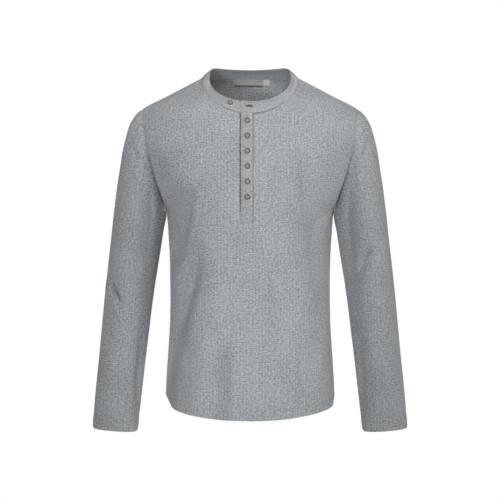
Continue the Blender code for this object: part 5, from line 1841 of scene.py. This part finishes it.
class HENLEY_OT_sewing(bpy.types.Operator):
    """Add the stitching of hem, sleeve ends, armholes, neck seam and placket"""

    bl_idname = "henley.sewing"
    bl_label = "Sewing"

    def execute(self, context):
        front, back = panel_surface(-1), panel_surface(1)
        add_stitches("shirt_hem_sewing", [stitch_line(part, TURN_STITCH) for part in (front, back)])
        ends = []
        for side_x in (1, -1):
            sleeve = sleeve_surface(side_x)
            rows, columns = sleeve["outer"].shape[:2]
            ends.append(stitch_line(sleeve, (rows - 1 - TURN_STITCH, [*range(columns), 0])))
        add_stitches("shirt_sleeve_end_sewing", ends)
        up_armhole = slice(ARMHOLE_ROW, -SEAM_COLUMN)
        arms = [
            stitch_line(part, (up_armhole, column))
            for part in (front, back) for column in (SEAM_COLUMN, -1 - SEAM_COLUMN)
        ]
        add_stitches("shirt_armhole_sewing", arms)
        edge = SHOULDER_COLUMNS + SEAM_COLUMN
        past_slit = SLIT_COLUMN + SLIT_COLUMNS + 2
        neck = [
            stitch_line(part, (-1 - SEAM_COLUMN, columns))
            for part, columns in (
                (front, slice(edge, SLIT_COLUMN - 2)),
                (front, slice(past_slit, -edge)),
                (back, slice(edge, -edge)),
            )
        ]
        add_stitches("shirt_neck_sewing", neck)
        inset = PLACKET_STITCH
        cuts = [np.s_[inset:-1, inset], np.s_[inset:-1, -inset]]
        cuts += [np.s_[row, inset:-1] for row in (inset, PLACKET_BOX_ROW)]
        add_stitches("shirt_placket_sewing", [stitch_line(SURFACES["overlap"], cut) for cut in cuts])
        return {"FINISHED"}


def turned_to(place, aim):
    """Rotation that turns a light or the camera from its place towards its aim."""
    return (Vector(aim) - Vector(place)).to_track_quat("-Z", "Y").to_euler()


def soft_light(name, power, place, width, height, aim, spread):
    """A softbox: a flat area light turned to its aim; a grid on it narrows its spread."""
    data = bpy.data.lights.new(name, "AREA")
    data.shape = "RECTANGLE"
    data.size, data.size_y = width, height
    data.energy = power
    data.spread = math.radians(spread)
    made = bpy.data.objects.new(name, data)
    made.location = place
    made.rotation_euler = turned_to(place, aim)
    bpy.context.collection.objects.link(made)


class HENLEY_OT_studio(bpy.types.Operator):
    """Add the camera, the soft lights, the pale floor and the white room"""

    bl_idname = "henley.studio"
    bl_label = "Studio"

    def execute(self, context):
        scene = context.scene
        light = scene.henley_light
        data = bpy.data.cameras.new("camera")
        data.lens = CAMERA_LENS
        data.sensor_width = CAMERA_SENSOR
        data.clip_start, data.clip_end = CAMERA_NEAR, CAMERA_FAR
        camera = bpy.data.objects.new("camera", data)
        camera.location = CAMERA_PLACE
        camera.rotation_euler = turned_to(CAMERA_PLACE, CAMERA_AIM)
        context.collection.objects.link(camera)
        scene.camera = camera
        for name, setting, *shape in LIGHTS:
            soft_light(name, getattr(light, setting), *shape)
        world = bpy.data.worlds.new("pale_room")
        world.use_nodes = True
        tree = world.node_tree
        lit = tree.nodes["Background"]
        lit.inputs["Color"].default_value = linear(WHITE)
        lit.inputs["Strength"].default_value = light.room
        seen = tree.nodes.new("ShaderNodeBackground")
        seen.inputs["Color"].default_value = linear(WHITE)
        path = tree.nodes.new("ShaderNodeLightPath")
        mix = tree.nodes.new("ShaderNodeMixShader")
        tree.links.new(path.outputs["Is Camera Ray"], mix.inputs[0])
        tree.links.new(lit.outputs[0], mix.inputs[1])
        tree.links.new(seen.outputs[0], mix.inputs[2])
        tree.links.new(mix.outputs[0], tree.nodes["World Output"].inputs["Surface"])
        scene.world = world
        scene.view_settings.view_transform = "Standard"
        mesh = bpy.data.meshes.new("floor")
        ways = ((-1, -1), (1, -1), (1, 1), (-1, 1))
        corners = [(x * FLOOR_REACH, y * FLOOR_REACH, FLOOR_Z) for x, y in ways]
        mesh.from_pydata(corners, [], [(0, 1, 2, 3)])
        floor = bpy.data.objects.new("floor", mesh)
        pale = Finish("pale_floor", 0.8, FLOOR_COLOUR)
        floor.data.materials.append(pale.material)
        context.collection.objects.link(floor)
        return {"FINISHED"}


class HENLEY_PT_shirt(bpy.types.Panel):
    """Lists the shirt's pieces, sizes and colours"""

    bl_idname = "HENLEY_PT_shirt"
    bl_label = "Henley Shirt"
    bl_space_type = "VIEW_3D"
    bl_region_type = "UI"
    bl_category = "Henley"

    def draw(self, context):
        for operator in OPERATORS:
            self.layout.operator(operator.bl_idname)
        for name, group in GROUPS:
            box = self.layout.box()
            for setting in group.__annotations__:
                box.prop(getattr(context.scene, name), setting)


GROUPS = (("henley_sizes", HENLEY_sizes), ("henley_colours", HENLEY_colours), ("henley_light", HENLEY_light))
OPERATORS = (
    HENLEY_OT_panels, HENLEY_OT_sleeves, HENLEY_OT_neckband, HENLEY_OT_placket, HENLEY_OT_buttons,
    HENLEY_OT_buttonholes, HENLEY_OT_labels, HENLEY_OT_sewing, HENLEY_OT_studio,
)


def register():
    for _, group in GROUPS:
        bpy.utils.register_class(group)
    for operator in OPERATORS:
        bpy.utils.register_class(operator)
    bpy.utils.register_class(HENLEY_PT_shirt)
    for name, group in GROUPS:
        setattr(bpy.types.Scene, name, bpy.props.PointerProperty(type=group))


def unregister():
    for name, _ in GROUPS:
        delattr(bpy.types.Scene, name)
    bpy.utils.unregister_class(HENLEY_PT_shirt)
    for operator in reversed(OPERATORS):
        bpy.utils.unregister_class(operator)
    for _, group in reversed(GROUPS):
        bpy.utils.unregister_class(group)


def main():
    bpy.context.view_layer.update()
    register()
    for operator in OPERATORS:
        group, name = operator.bl_idname.split(".")
        getattr(getattr(bpy.ops, group), name)()


if __name__ == "__main__":
    main()
